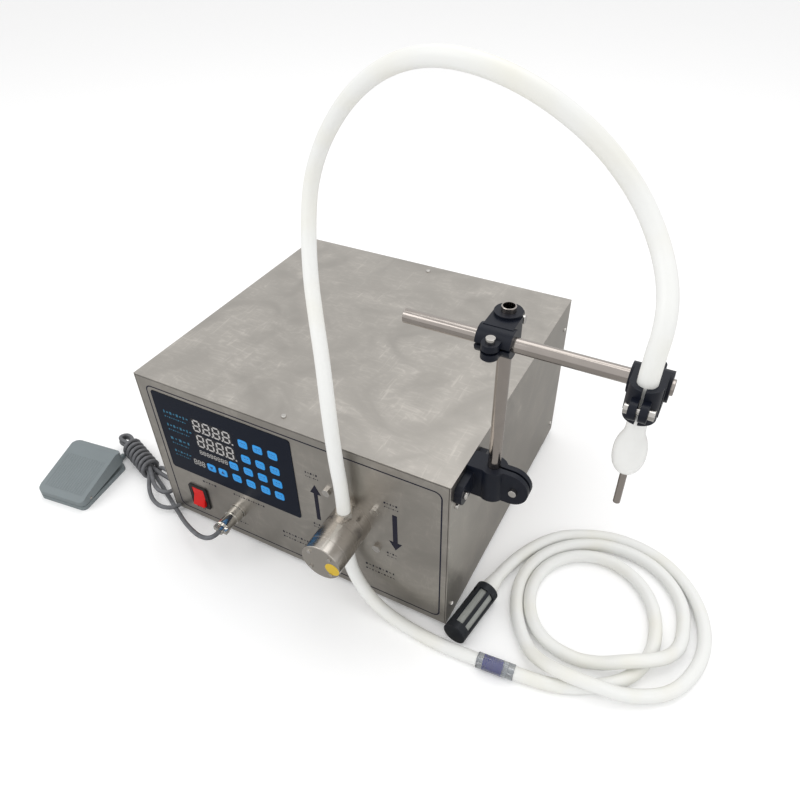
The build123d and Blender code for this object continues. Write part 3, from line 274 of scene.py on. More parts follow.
@dataclass(frozen=True)
class Finish:
    """One named finish and its numbers."""

    name: str
    grain: Grain
    colour: Point
    rough: float
    metal: float = 0.0
    coat: float = 0.0
    centre: Point = (0.0, 0.0, 0.0)
    gloss: float = 0.5

    def make(self) -> bpy.types.Material:
        """Build the material.

        Returns:
            The finished material.
        """
        paint = Paint(self.name)
        paint.set(Metallic=self.metal, Coat_Weight=self.coat, Coat_Roughness=0.08, Specular_IOR_Level=self.gloss)
        makers: dict[Grain, Callable[[Paint], None]] = {
            Grain.SHEET: self._sheet, Grain.TURNED: self._turned, Grain.DRAWN: self._drawn,
            Grain.HOSE: self._hose, Grain.SHEATH: self._sheath, Grain.CLEAR: self._clear,
            Grain.WOVEN: self._woven, Grain.RIBBED: self._ribbed,
        }
        makers.get(self.grain, self._skin)(paint)
        return paint.material

    def _tone(self, share: float) -> tuple[float, float, float, float]:
        """The colour, with alpha, made lighter or darker by a factor."""
        return (*(min(1.0, c * share) for c in self.colour), 1.0)

    def _sheet(self, paint: Paint) -> None:
        """Brushed stainless with cloudy swirls and light scratches."""
        streak = paint.noise(1.0, 4.0, paint.place((9, 900, 900)))
        cross = paint.noise(1.0, 3.0, paint.place((260, 30, 60), (0, 0, 0.65)), 1.4)
        cloud = paint.noise(14.0, 3.0, twist=1.6)
        swirl = paint.noise(1.0, 2.0, paint.place((38, 150, 70), (0, 0, 0.9)), 2.4)
        scuff = ((cross - 0.58) * 6.0).clamped() * ((cloud - 0.42) * 4.0).clamped()
        haze = ((swirl - 0.5) * 3.5).clamped() * ((cloud - 0.36) * 3.0).clamped()
        tone = paint.blend(((cloud - 0.3) * 2.2).clamped(), self._tone(0.86), self._tone(1.06))
        tone = paint.blend(haze * 0.6, tone, self._tone(1.4))
        tone = paint.blend(scuff * 0.5, tone, self._tone(1.5))
        rough = self.rough + (cloud - 0.5) * 0.16 + (streak - 0.5) * 0.10 + haze * 0.12 + scuff * 0.1
        paint.set(Base_Color=tone, Roughness=rough.clamped())
        paint.bump(streak + scuff * 0.3, 0.00003, 0.35)

    def _turned(self, paint: Paint) -> None:
        """Fine lathe rings along the pump's axis."""
        rings = paint.noise(1.0, 3.0, paint.place((3, 2400, 3), (0, 0, 0), self.centre))
        cloud = paint.noise(45.0)
        paint.set(
            Base_Color=paint.blend(cloud, self._tone(0.92), self._tone(1.05)),
            Roughness=(self.rough + (rings - 0.5) * 0.16 + (cloud - 0.5) * 0.08).clamped(),
        )
        paint.bump(rings, 0.00001, 0.3)

    def _drawn(self, paint: Paint) -> None:
        """Polished tube with faint drawing lines and smears."""
        smear = paint.noise(45.0, 3.0, twist=0.8)
        lines = paint.noise(1.0, 2.0, paint.place((40, 900, 900)))
        paint.set(
            Base_Color=paint.blend(smear, self._tone(0.86), self._tone(1.08)),
            Roughness=(self.rough + (smear - 0.5) * 0.16 + (lines - 0.5) * 0.08).clamped(),
        )
        paint.bump(lines, 0.00002, 0.3)

    def _skin(self, paint: Paint) -> None:
        """Plating, cast, moulded or printed skin: cloudy, with its own fine grain."""
        skin = SKINS[self.grain]
        cloud = paint.noise(skin.cloud)
        grain = paint.noise(skin.grain, 2.0) if skin.grain else cloud
        paint.set(
            Base_Color=paint.blend(cloud, self._tone(skin.dark), self._tone(skin.light)),
            Roughness=(self.rough + (cloud - 0.5) * skin.swing).clamped(),
        )
        paint.bump(grain, skin.depth, skin.strength)

    def _hose(self, paint: Paint) -> None:
        """Milky silicone with faint yellowing."""
        cloud = paint.noise(18.0, 2.0)
        fine = paint.noise(500.0, 2.0)
        warm = (self.colour[0] * 0.97, self.colour[1] * 0.945, self.colour[2] * 0.86, 1.0)
        paint.set(
            Base_Color=paint.blend(((cloud - 0.45) * 3.0).clamped(), self._tone(1.0), warm),
            Roughness=(self.rough + (cloud - 0.5) * 0.15).clamped(),
        )
        paint.bump(fine, 0.00004, 0.25)

    def _sheath(self, paint: Paint) -> None:
        """Vinyl cable sheath with dust and a soft shine."""
        dust = paint.noise(160.0, 3.0)
        paint.set(
            Base_Color=paint.blend(((dust - 0.4) * 3.0).clamped(), self._tone(0.85), self._tone(1.25)),
            Roughness=(self.rough + (dust - 0.5) * 0.2).clamped(),
        )
        paint.bump(dust, 0.00006, 0.4)

    def _clear(self, paint: Paint) -> None:
        """Clear moulding."""
        cloud = paint.noise(120.0)
        paint.set(
            Base_Color=paint.blend(cloud, self._tone(0.97), self._tone(1.0)),
            Roughness=(self.rough + cloud * 0.05).clamped(),
            Transmission_Weight=0.92, IOR=1.46,
        )

    def _woven(self, paint: Paint) -> None:
        """Pale filter mesh: a fine square weave."""
        where = paint.place((WEAVE, WEAVE, WEAVE))
        weave = (
            abs(paint.axis(where, "X").sine()) * 0.4 + abs(paint.axis(where, "Y").sine()) * 0.35
            + abs(paint.axis(where, "Z").sine()) * 0.25
        )
        cloud = paint.noise(70.0)
        paint.set(
            Base_Color=paint.blend((weave * 0.8 + cloud * 0.4).clamped(), self._tone(0.55), self._tone(1.2)),
            Roughness=(self.rough + (cloud - 0.5) * 0.2).clamped(),
        )
        paint.bump(weave, 0.00012, 0.7)

    def _ribbed(self, paint: Paint) -> None:
        """Grey moulding with fine ribs along its length on the treading face, and painted shade in the grooves between
        them.
        """
        where = paint.place((1, 1, 1), (0, 0, -PEDAL_TURN), tuple(PEDAL_CENTRE))
        across, along = paint.axis(where, "X"), paint.axis(where, "Y")
        upward = paint.axis(paint.node("ShaderNodeNewGeometry", {}, {}, "Normal"), "Z") > 0.8
        inside = (abs(across) < RIB_REACH) * (abs(along + 8 * MM) < RIB_WIDTH)
        ribs = ((across * (2 * math.pi / RIB_PITCH)).sine() * 0.5 + 0.5) * inside * upward
        grain = paint.noise(1400.0, 2.0)
        cloud = paint.noise(35.0)
        tone = paint.blend(cloud, self._tone(0.92), self._tone(1.1))
        # painted shade: the grooves between the ribs are darkened
        tone = paint.blend(((1.0 - ribs) * inside * upward) * 0.22, tone, self._tone(0.6))
        paint.set(Base_Color=tone, Roughness=(self.rough + (cloud - 0.5) * 0.15).clamped())
        paint.bump(ribs + grain * 0.08, 0.0006, 0.8)


class Finishes:
    """Every finish of the filler, by the record's material slots."""

    def __init__(self) -> None:
        """Make all the materials once."""
        axis = tuple(PUMP_AXIS)
        rows = (
            Finish("stainless_sheet", Grain.SHEET, (0.47, 0.445, 0.41), 0.36, 1.0),
            Finish("turned_steel", Grain.TURNED, (0.50, 0.47, 0.43), 0.25, 1.0, centre=axis),
            Finish("polished_tube", Grain.DRAWN, (0.44, 0.40, 0.37), 0.16, 1.0),
            Finish("plated_screw", Grain.PLATED, (0.62, 0.60, 0.57), 0.16, 1.0),
            Finish("plated_connector", Grain.PLATED, (0.66, 0.64, 0.60), 0.12, 1.0),
            Finish("gear_steel", Grain.PLATED, (0.45, 0.45, 0.45), 0.3, 1.0),
            Finish("spring_wire", Grain.PLATED, (0.4, 0.4, 0.4), 0.3, 1.0),
            Finish("magnet_black", Grain.CAST, (0.03, 0.03, 0.033), 0.4),
            Finish("cast_alloy", Grain.CAST, (0.5, 0.5, 0.51), 0.45, 1.0),
            Finish("motor_paint", Grain.CAST, (0.02, 0.02, 0.022), 0.4),
            Finish("clamp_black", Grain.MOULDED, (0.006, 0.008, 0.015), 0.36, gloss=0.25),
            Finish("bezel_black", Grain.MOULDED, (0.008, 0.008, 0.009), 0.35, gloss=0.3),
            Finish("rocker_red", Grain.MOULDED, (0.60, 0.006, 0.005), 0.3, gloss=0.3),
            Finish("panel_film", Grain.PRINTED, (0.005, 0.008, 0.017), 0.30, gloss=0.10),
            Finish("display_window", Grain.PRINTED, (0.014, 0.014, 0.018), 0.22, gloss=0.2),
            Finish("digit_grey", Grain.PRINTED, (0.44, 0.43, 0.42), 0.5),
            Finish("key_blue", Grain.PRINTED, (0.024, 0.30, 0.74), 0.35, gloss=0.3),
            Finish("key_mark", Grain.PRINTED, (0.01, 0.04, 0.13), 0.4),
            Finish("label_blue", Grain.PRINTED, (0.02, 0.13, 0.22), 0.35, gloss=0.3),
            Finish("ink_black", Grain.PRINTED, (0.008, 0.008, 0.022), 0.45, gloss=0.25),
            Finish("sticker_yellow", Grain.PRINTED, (0.62, 0.42, 0.02), 0.5),
            Finish("board_green", Grain.MOULDED, (0.01, 0.12, 0.04), 0.4),
            Finish("foot_rubber", Grain.MOULDED, (0.02, 0.02, 0.02), 0.7),
            Finish("silicone_hose", Grain.HOSE, (0.82, 0.825, 0.805), 0.4),
            Finish("nozzle_white", Grain.MOULDED, (0.80, 0.80, 0.78), 0.25, coat=0.2),
            Finish("valve_clear", Grain.CLEAR, (0.90, 0.93, 0.96), 0.05),
            Finish("valve_blue", Grain.MOULDED, (0.004, 0.006, 0.26), 0.25, coat=0.1),
            Finish("cage_black", Grain.MOULDED, (0.008, 0.010, 0.014), 0.38, gloss=0.3),
            Finish("mesh_pale", Grain.WOVEN, (0.30, 0.31, 0.29), 0.55),
            Finish("pedal_grey", Grain.RIBBED, (0.185, 0.215, 0.225), 0.5),
            Finish("switch_black", Grain.MOULDED, (0.02, 0.02, 0.022), 0.4),
            Finish("cable_grey", Grain.SHEATH, (0.125, 0.128, 0.138), 0.5),
        )
        self.made = {row.name: row.make() for row in rows}

    def dress(self, piece: bpy.types.Object, name: str) -> None:
        """Give a piece the finish of that name."""
        piece.data.materials.clear()
        piece.data.materials.append(self.made[name])


# ------------------------------------------------------------------ shared shaping
def put(mesh: bpy.types.Mesh, name: str) -> bpy.types.Object:
    """Link a mesh as an object at the origin.

    Args:
        mesh: the mesh, already in place.
        name: the piece's name.

    Returns:
        The new object.
    """
    piece = bpy.data.objects.new(name, mesh)
    bpy.context.scene.collection.objects.link(piece)
    return piece


def close(shape: bmesh.types.BMesh, name: str, smooth: bool = True) -> bpy.types.Object:
    """Turn a bmesh into a piece with outward faces.

    Args:
        shape: the bmesh, which is freed.
        name: the piece's name.
        smooth: whether its faces are shaded smooth.

    Returns:
        The new object.
    """
    bmesh.ops.remove_doubles(shape, verts=shape.verts, dist=WELD)
    bmesh.ops.recalc_face_normals(shape, faces=shape.faces)
    mesh = bpy.data.meshes.new(name)
    shape.to_mesh(mesh)
    shape.free()
    for polygon in mesh.polygons:
        polygon.use_smooth = smooth
    return put(mesh, name)


def ease(piece: bpy.types.Object, width: float, segments: int = 2) -> None:
    """Round a piece's sharp edges with a Bevel modifier.

    Args:
        piece: the object.
        width: the bevel's width.
        segments: its segments.
    """
    bevel = piece.modifiers.new("eased_edges", "BEVEL")
    bevel.width = width
    bevel.segments = segments
    bevel.limit_method = "ANGLE"
    bevel.angle_limit = BEVELLED
    bevel.use_clamp_overlap = True
    even = piece.modifiers.new("even_normals", "WEIGHTED_NORMAL")
    even.weight = 100
    even.keep_sharp = True


def tile(shape: bmesh.types.BMesh, centre: Point, size: Point, corner: float, steps: int = 4) -> None:
    """Add a flat tile in the front face's plane, with rounded corners.

    Args:
        shape: the bmesh to add to.
        centre: the tile's centre.
        size: its width, thickness and height.
        corner: the corner radius.
        steps: bevel segments per corner.
    """
    place = Matrix.Translation(centre) @ Matrix.Diagonal((*size, 1.0))
    made = bmesh.ops.create_cube(shape, size=1.0, matrix=place)
    upright = [
        edge for edge in {e for v in made["verts"] for e in v.link_edges}
        if abs(edge.verts[0].co.y - edge.verts[1].co.y) > size[1] * 0.5
    ]
    if corner > 0:
        bmesh.ops.bevel(
            shape, geom=upright, offset=corner, offset_type="OFFSET", segments=steps,
            profile=0.5, affect="EDGES", material=-1, clamp_overlap=True,
        )


def plate(shape: bmesh.types.BMesh, corners: Iterable[Point], thick: float) -> None:
    """Add a flat plate that stands forward of its outline.

    Args:
        shape: the bmesh to add to.
        corners: its outline.
        thick: how far it is extruded forward.
    """
    face = shape.faces.new([shape.verts.new(corner) for corner in corners])
    made = bmesh.ops.extrude_face_region(shape, geom=[face])
    moved = [g for g in made["geom"] if isinstance(g, bmesh.types.BMVert)]
    bmesh.ops.translate(shape, vec=(0, -thick, 0), verts=moved)


def lathe(
    name: str, profile: Sequence[tuple[float, float]], foot: Point, heading: Point, steps: int = 64,
) -> bpy.types.Object:
    """Spin an outline round an axis.

    Args:
        name: the piece's name.
        profile: radius and distance along the axis, in order round the outline.
        foot: where the axis starts.
        heading: the axis's direction.
        steps: facets round the axis.

    Returns:
        The piece.
    """
    shape = bmesh.new()
    corners = [shape.verts.new((radius, 0.0, along)) for radius, along in profile]
    outline = [shape.edges.new((a, b)) for a, b in zip(corners, corners[1:])]
    bmesh.ops.spin(
        shape, geom=corners + outline, cent=(0, 0, 0), axis=(0, 0, 1), angle=2 * math.pi, steps=steps,
        use_merge=True, use_duplicate=False,
    )
    turn = Vector((0, 0, 1)).rotation_difference(Vector(heading).normalized()).to_matrix().to_4x4()
    bmesh.ops.transform(shape, matrix=Matrix.Translation(foot) @ turn, verts=shape.verts)
    bmesh.ops.remove_doubles(shape, verts=shape.verts, dist=MERGE)
    for edge in shape.edges:
        if len(edge.link_faces) == 2 and edge.calc_face_angle() > SHARP:
            edge.smooth = False
    return close(shape, name)


def pipe(radius: float, bore: float, length: float, lip: float) -> list[tuple[float, float]]:
    """A tube's closed outline, radius and distance, with eased lips."""
    return [
        (bore, 0.0), (radius - lip, 0.0), (radius, lip), (radius, length - lip), (radius - lip, length),
        (bore, length), (bore, 0.0),
    ]


class Works:
    """The loaded frame, the finishes and the ways that pieces are made from them."""

    def __init__(self) -> None:
        """Load the frame and make the finishes."""
        self.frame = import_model()
        self.nodes: dict[str, bpy.types.Object] = self.frame["nodes"]
        self.body_of = {
            node: body for body, names in self.frame["record"]["behaviour"]["bodies"].items() for node in names
        }
        self.slot_of = {row["node"]: row["material_slot"] for row in self.frame["record"]["subparts"]}
        self.finishes = Finishes()

    def finish_all(self) -> None:
        """Dress every CAD node in its slot's finish."""
        for name, node in self.nodes.items():
            self.finishes.dress(node, self.slot_of[name])

    def eased(self, widths: dict[str, float], segments: int = 2) -> None:
        """Stand merged copies with rounded edges in for CAD nodes.

        Args:
            widths: node name to the rounding's width in millimetres.
            segments: the rounding's segments.
        """
        for name, width in widths.items():
            shape = bmesh.new()
            shape.from_mesh(self.nodes[name].data)
            bmesh.ops.remove_doubles(shape, verts=shape.verts, dist=MERGE)
            bmesh.ops.dissolve_limit(shape, angle_limit=FLAT, verts=shape.verts, edges=shape.edges)
            mesh = bpy.data.meshes.new(name + "_eased")
            shape.to_mesh(mesh)
            shape.free()
            for polygon in mesh.polygons:
                polygon.use_smooth = True
            piece = put(mesh, name + "_eased")
            ease(piece, width * MM, segments)
            self.stand_in(piece, name)

    def stand_in(self, piece: bpy.types.Object, name: str) -> None:
        """Dress a piece as the CAD node that it replaces and let it ride there."""
        self.add(piece, self.slot_of[name], self.body_of[name], self.slot_of[name], name)

    def spring(self, name: str) -> None:
        """Stand a copy in for an upright compression spring.

        Args:
            name: the node's name.
        """
        shape = bmesh.new()
        shape.from_mesh(self.nodes[name].data)
        piece = close(shape, name + "_wire")
        self.stand_in(piece, name)
        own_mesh(piece)

    def add(self, piece: bpy.types.Object, finish: str, body: str, slot: str, *stands_for: str) -> None:
        """Dress a new piece and let it ride.

        Args:
            piece: the object.
            finish: its finish.
            body: the CAD body it rides on.
            slot: the record's material slot; not used.
            stands_for: CAD nodes that it replaces.
        """
        self.finishes.dress(piece, finish)
        if stands_for:
            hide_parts(*stands_for)
        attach(piece, body)
        LOG.info("%s rides on %s", piece.name, body)


# ------------------------------------------------------------------ cabinet and panel
@dataclass
class Cabinet:
    """Folded stainless cabinet with the ink printed on its front."""

    border_left: float = 11.5 * MM
    border_right: float = 343 * MM
    border_low: float = 7 * MM
    border_high: float = 185 * MM
    border_corner: float = 8 * MM
    border_line: float = 1.5 * MM
    ink_depth: float = 0.06 * MM

    def build(self, works: Works) -> None:
        """Ease the sheet metal and print the front.

        Args:
            works: the shared maker.
        """
        works.eased({"top_cover": 0.9, "front_panel": 0.5, "rear_panel": 0.4, "base_tray": 0.6})
        works.eased({"rubber_feet": 0.35, "cover_screws": 0.35, "hex_screws": 0.35})
        for ink in (self._border(), self._arrows(), self._captions()):
            works.add(ink, "ink_black", "cabinet", "panel_film")

    def _at(self, x: float, z: float) -> Vector:
        """A point just proud of the front face, from its left wall and lower edge."""
        return Vector((LEFT + x, FRONT - self.ink_depth / 2, BOTTOM + z))

    def _border(self) -> bpy.types.Object:
        """The printed border line.

        Returns:
            The piece.
        """
        shape = bmesh.new()
        middle = self._at((self.border_left + self.border_right) / 2, (self.border_low + self.border_high) / 2)
        size = (self.border_right - self.border_left, self.ink_depth, self.border_high - self.border_low)
        tile(shape, tuple(middle), size, self.border_corner, 6)
        faces = [f for f in shape.faces if abs(f.normal.y) > 0.9]
        bmesh.ops.inset_region(shape, faces=faces, thickness=self.border_line, use_even_offset=True)
        bmesh.ops.delete(shape, geom=faces, context="FACES")
        rims = [e for e in shape.edges if e.is_boundary]
        bmesh.ops.bridge_loops(shape, edges=rims)
        return close(shape, "printed_border", False)

    def _arrows(self) -> bpy.types.Object:
        """One arrow up beside the outlet and one down beside the inlet.

        Returns:
            The piece.
        """
        shape = bmesh.new()
        for x, tail, neck, tip, half in (
            (209.6 * MM, 82.7 * MM, 120 * MM, 132.3 * MM, 6.4 * MM),
            (295.9 * MM, 133.6 * MM, 95.6 * MM, 84.3 * MM, 7.0 * MM),
        ):
            stem = half * 0.36
            outline = (
                (-stem, tail), (stem, tail), (stem, neck), (half, neck), (0.0, tip), (-half, neck), (-stem, neck),
            )
            plate(shape, [self._at(x + dx, z) for dx, z in outline], self.ink_depth)
        return close(shape, "flow_arrows", False)

    def _captions(self) -> bpy.types.Object:
        """Rows of plain dashes where a maker would print captions.

        Returns:
            The piece.
        """
        shape = bmesh.new()
        rows = (
            (201, 146, 5, 3.0, 2.6), (201, 141, 7, 2.2, 1.5), (203, 74, 4, 3.0, 2.6), (203, 69.5, 5, 2.2, 1.5),
            (286, 146, 5, 3.0, 2.6), (286, 141, 7, 2.2, 1.5), (287, 76, 4, 3.0, 2.6), (287, 71.5, 5, 2.2, 1.5),
            (58, 66, 5, 4.0, 3.0), (100, 66, 13, 3.2, 2.6), (37, 15.5, 5, 2.6, 1.8), (88, 22, 8, 3.0, 2.0),
            (160, 38, 11, 3.8, 3.2), (160, 31, 12, 3.4, 2.4), (262, 45, 9, 3.8, 3.2), (262, 38, 10, 3.4, 2.4),
        )
        for x, z, count, step, height in rows:
            for index in range(count):
                wide = step * (0.62 if (index * 7 + int(x)) % 3 else 0.4)
                size = (wide * MM, self.ink_depth, height * MM * (0.35 if index % 2 else 0.9))
                tile(shape, tuple(self._at((x + index * step) * MM, z * MM)), size, 0.0)
        return close(shape, "caption_dashes", False)


@dataclass
class ControlPanel:
    """Membrane film, display windows with unlit digits, and keys."""

    width: float = 170 * MM
    height: float = 107 * MM
    left: float = 17.5 * MM
    low: float = 73 * MM
    thick: float = 0.5 * MM
    corner: float = 3.5 * MM
    key_size: tuple[float, float] = (11.3 * MM, 10.5 * MM)
    key_rows: tuple[tuple[float, tuple[float, ...]], ...] = (
        (151.3, (128.7, 146.4, 164.3)), (130.7, (128.6, 146.2, 163.8)),
        (113.0, (109.8, 128.2, 146.1, 164.2)), (95.4, (76.7, 91.9, 110.4, 128.3, 146.8, 164.1)),
    )
    windows: tuple[tuple[float, float, float, float, int], ...] = (
        (89.9, 151.7, 50.2, 17.5, 4), (90.2, 130.7, 50.4, 19.4, 4), (83.8, 113.7, 37.7, 6.5, 8),
        (60.5, 95.3, 16.0, 8.7, 3),
    )
    digit_lean: float = 0.08
    ink_depth: float = 0.05 * MM

    def build(self, works: Works) -> None:
        """Make the panel's pieces.

        Args:
            works: the shared maker.
        """
        film = self._film()
        works.add(film, "panel_film", "cabinet", "panel_film", "control_overlay")
        ease(film, 0.2 * MM)
        for piece, finish, slot in (
            (self._glass(), "display_window", "display_window"), (self._digits(), "digit_grey", "display_window"),
            (self._keys(), "key_blue", "panel_film"), (self._marks(), "key_mark", "panel_film"),
            (self._labels(), "label_blue", "panel_film"),
        ):
            works.add(piece, finish, "cabinet", slot)
        works.eased({"rocker_bezel": 0.8, "power_rocker": 0.7}, 3)

    def _point(self, x: float, z: float, proud: float) -> Point:
        """A point proud of the steel by metres, from millimetres across and up the front."""
        return (LEFT + x * MM, FRONT - proud, BOTTOM + z * MM)

    def _film(self) -> bpy.types.Object:
        """The dark film.

        Returns:
            The piece.
        """
        shape = bmesh.new()
        centre = (
            LEFT + self.left + self.width / 2, FRONT - self.thick / 2 - 0.01 * MM, BOTTOM + self.low + self.height / 2,
        )
        tile(shape, centre, (self.width, self.thick, self.height), self.corner, 8)
        return close(shape, "control_film")

    def _glass(self) -> bpy.types.Object:
        """The tinted windows.

        Returns:
            The piece.
        """
        shape = bmesh.new()
        for x, z, wide, high, _count in self.windows:
            tile(shape, self._point(x, z, self.thick + 0.02 * MM), (wide * MM, 0.06 * MM, high * MM), 0.8 * MM, 3)
        return close(shape, "display_windows", False)

    def _digits(self) -> bpy.types.Object:
        """Unlit seven-bar digits in the windows.

        Returns:
            The piece.
        """
        shape = bmesh.new()
        for x, z, wide, high, count in self.windows:
            pitch = wide / count
            tall, broad = high * 0.8, pitch * 0.62
            bar = max(0.7, min(2.0, broad * 0.25))
            for index in range(count):
                middle = x - wide / 2 + pitch * (index + 0.46)
                bars = [(0.0, tall / 2 * side, broad - bar * 0.7, bar) for side in (-1, 0, 1)]
                bars += [
                    (broad / 2 * side, tall / 4 * half, bar, tall / 2 - bar * 0.9)
                    for side in (-1, 1) for half in (-1, 1)
                ]
                for dx, dz, w, h in bars:
                    place = self._point(middle + dx + dz * self.digit_lean, z + dz, self.thick + 0.06 * MM)
                    tile(shape, place, (w * MM, self.ink_depth, h * MM), min(w, h) * 0.3 * MM, 1)
                if high > 12:
                    dot = self._point(middle + broad * 0.86, z - tall / 2, self.thick + 0.06 * MM)
                    tile(shape, dot, (bar * MM, self.ink_depth, bar * MM), 0.3 * MM, 2)
        return close(shape, "display_digits", False)

    def _keys(self) -> bpy.types.Object:
        """The domed blue keys.

        Returns:
            The piece.
        """
        shape = bmesh.new()
        for z, places in self.key_rows:
            for x in places:
                tile(
                    shape, self._point(x, z, self.thick + 0.1 * MM),
                    (self.key_size[0], 0.2 * MM, self.key_size[1]), 2.6 * MM, 4,
                )
        fronts = [f for f in shape.faces if f.normal.y < -0.9]
        bmesh.ops.inset_individual(shape, faces=fronts, thickness=1.2 * MM, depth=0.18 * MM)
        return close(shape, "membrane_keys")

    def _marks(self) -> bpy.types.Object:
        """Plain dark marks on the keys, with a triangle on the two arrow keys.

        Returns:
            The piece.
        """
        shape = bmesh.new()
        proud = self.thick + 0.42 * MM
        for z, places in self.key_rows:
            for index, x in enumerate(places):
                if len(places) == 6 and index < 2:
                    sign = -1 if index == 0 else 1
                    ends = [(-2.4, -1.6 * sign), (2.4, -1.6 * sign), (0.0, 2.4 * sign)]
                    plate(shape, [self._point(x + dx, z + dz, proud) for dx, dz in ends], self.ink_depth)
                    continue
                for row, share in ((1.5, 0.9), (-1.4, 0.6)):
                    for step in range(4):
                        wide = (1.1 if (index + step + int(z)) % 2 else 0.7) * share
                        place = self._point(x - 2.7 + step * 1.8, z + row, proud)
                        high = (1.5 if step % 2 else 0.9) * share
                        tile(shape, place, (wide * MM, self.ink_depth, high * MM), 0.0)
        return close(shape, "key_marks", False)

    def _labels(self) -> bpy.types.Object:
        """Dim rows of dashes to the left of the displays.

        Returns:
            The piece.
        """
        shape = bmesh.new()
        for z, high, count, step in (
            (156, 3.6, 8, 4.3), (149.5, 1.8, 10, 2.9), (138, 3.6, 8, 4.3), (131.5, 1.8, 10, 2.9),
            (119, 3.6, 5, 5.6), (112.5, 1.8, 8, 2.9), (101, 3.0, 6, 4.0), (95.5, 1.6, 8, 2.6),
        ):
            for index in range(count):
                x = 29 + index * step
                wide = step * (0.6 if (index + int(z)) % 3 else 0.4)
                size = (wide * MM, self.ink_depth, high * MM * (0.5 if index % 2 else 1.0))
                if x < 62 or z > 105:
                    tile(shape, self._point(x, z, self.thick + 0.03 * MM), size, 0.0)
        return close(shape, "label_dashes", False)


# ------------------------------------------------------------------ pump and stand
@dataclass
class Pump:
    """Magnetic gear pump on the front, with its ports."""

    sticker_radius: float = 7.4 * MM
    sticker_place: Point = (101.5 * MM, -190.55 * MM, 108.0 * MM)

    def build(self, works: Works) -> None:
        """Ease the turned pieces and add the inspection sticker.

        Args:
            works: the shared maker.
        """
        works.eased({"pump_housing": 0.45, "gear_case": 0.45, "pump_cover": 0.45}, 3)
        works.eased({"outlet_port": 0.3, "inlet_port": 0.3, "motor_bracket": 0.5, "motor": 0.8})
        shape = bmesh.new()
        place = Matrix.Translation(self.sticker_place) @ Matrix.Rotation(math.pi / 2, 4, "X")
        bmesh.ops.create_cone(
            shape, cap_ends=True, segments=48, radius1=self.sticker_radius, radius2=self.sticker_radius,
            depth=0.1 * MM, matrix=place,
        )
        works.add(close(shape, "inspection_sticker", False), "sticker_yellow", "cabinet", "panel_film")


@dataclass
class Stand:
    """Tubes and clamps that carry the nozzle."""

    tube_radius: float = 5.5 * MM
    tube_wall: float = 1.0 * MM
    upright_foot: Point = (210 * MM, -92.5 * MM, 161 * MM)
    upright_length: float = 197 * MM
    arm_foot: Point = (138 * MM, -112.5 * MM, 341 * MM)
    arm_length: float = 192 * MM
    spout_axis: tuple[float, float] = (315 * MM, -132.5 * MM)
    poppet_travel: float = 2.1 * MM

    def build(self, works: Works) -> None:
        """Ease the stand's pieces.

        Args:
            works: the shared maker.
        """
        works.eased({"base_clamp": 1.1, "cross_clamp": 1.1, "nozzle_clamp": 1.1}, 3)
        works.eased({"base_clamp_screws": 0.3, "cross_clamp_screws": 0.3, "nozzle_clamp_screws": 0.3})
        self._tubes(works)
        self._nozzle(works)

    def _tubes(self, works: Works) -> None:
        """The two round tubes and the thin spout.

        Args:
            works: the shared maker.
        """
        bore = self.tube_radius - self.tube_wall
        post = pipe(self.tube_radius, bore, self.upright_length, 0.3 * MM)
        arm = pipe(self.tube_radius, bore, self.arm_length, 0.3 * MM)
        spout = pipe(2.5 * MM, 1.7 * MM, 33 * MM, 0.15 * MM)
        works.stand_in(lathe("upright_post", post, self.upright_foot, (0, 0, 1)), "upright_tube")
        works.stand_in(lathe("cross_arm", arm, self.arm_foot, (1, 0, 0)), "arm_tube")
        works.stand_in(lathe("spout_tip", spout, (*self.spout_axis, 248 * MM), (0, 0, 1), 40), "nozzle_tip")

    def _nozzle(self, works: Works) -> None:
        """The white nozzle with its rounded bulb.

        Args:
            works: the shared maker.
        """
        outline = [  # radius and height in millimetres
            (2.3, 279), (3.8, 279), (4.8, 279.3), (6.4, 280.8), (8.2, 283.2), (9.7, 286.4),
            (10.6, 290), (11.0, 294), (11.0, 298), (10.7, 301.8), (10.0, 305.2), (9.0, 308.2), (8.0, 310.6),
            (7.2, 312.8), (6.7, 315), (6.45, 318), (6.4, 323), (6.4, 339.6), (4.4, 339.9), (4.4, 349.6), (2.3, 349.8),
            (2.3, 279),
        ]
        foot = outline[0][1]
        profile = [(r * MM, (z - foot) * MM) for r, z in outline]
        works.stand_in(lathe("nozzle_bulb", profile, (*self.spout_axis, foot * MM), (0, 0, 1)), "nozzle_body")
        works.spring("nozzle_spring")


@dataclass
class Pedal:
    """Grey foot pedal, its socket and plug."""

    toe_travel: float = 3.6 * MM

    def build(self, works: Works) -> None:
        """Ease the pedal's mouldings and the connector.

        Args:
            works: the shared maker.
        """
        works.eased({"pedal_treadle": 3.0}, 5)
        works.eased({"pedal_base": 1.0}, 3)
        works.eased({"pedal_pin": 0.4})
        works.spring("pedal_spring")
        works.eased({"pedal_socket": 0.4, "cable_plug": 0.4, "mains_inlet": 0.4})


@dataclass
class Strainer:
    """Check valve and intake strainer on the hose."""

    cuff_foot: Point = (212 * MM, -82 * MM, 12 * MM)
    cuff_heading: Point = (0.157, 0.988, 0.0)

    def build(self, works: Works) -> None:
        """Ease the mouldings.

        Args:
            works: the shared maker.
        """
        works.eased({"strainer_cage": 0.5, "strainer_mesh": 0.05, "check_valve_body": 0.5, "check_valve_core": 0.4})
        cuff = [(6.3, 21), (6.7, 21), (7.0, 17), (8.1, 10), (8.6, 6), (8.7, 0.4), (8.3, 0.0), (6.3, 0.0), (6.3, 21)]
        works.add(
            lathe("hose_cuff", [(r * MM, z * MM) for r, z in cuff], self.cuff_foot, self.cuff_heading, 48),
            "silicone_hose", "cabinet", "silicone_hose",
        )


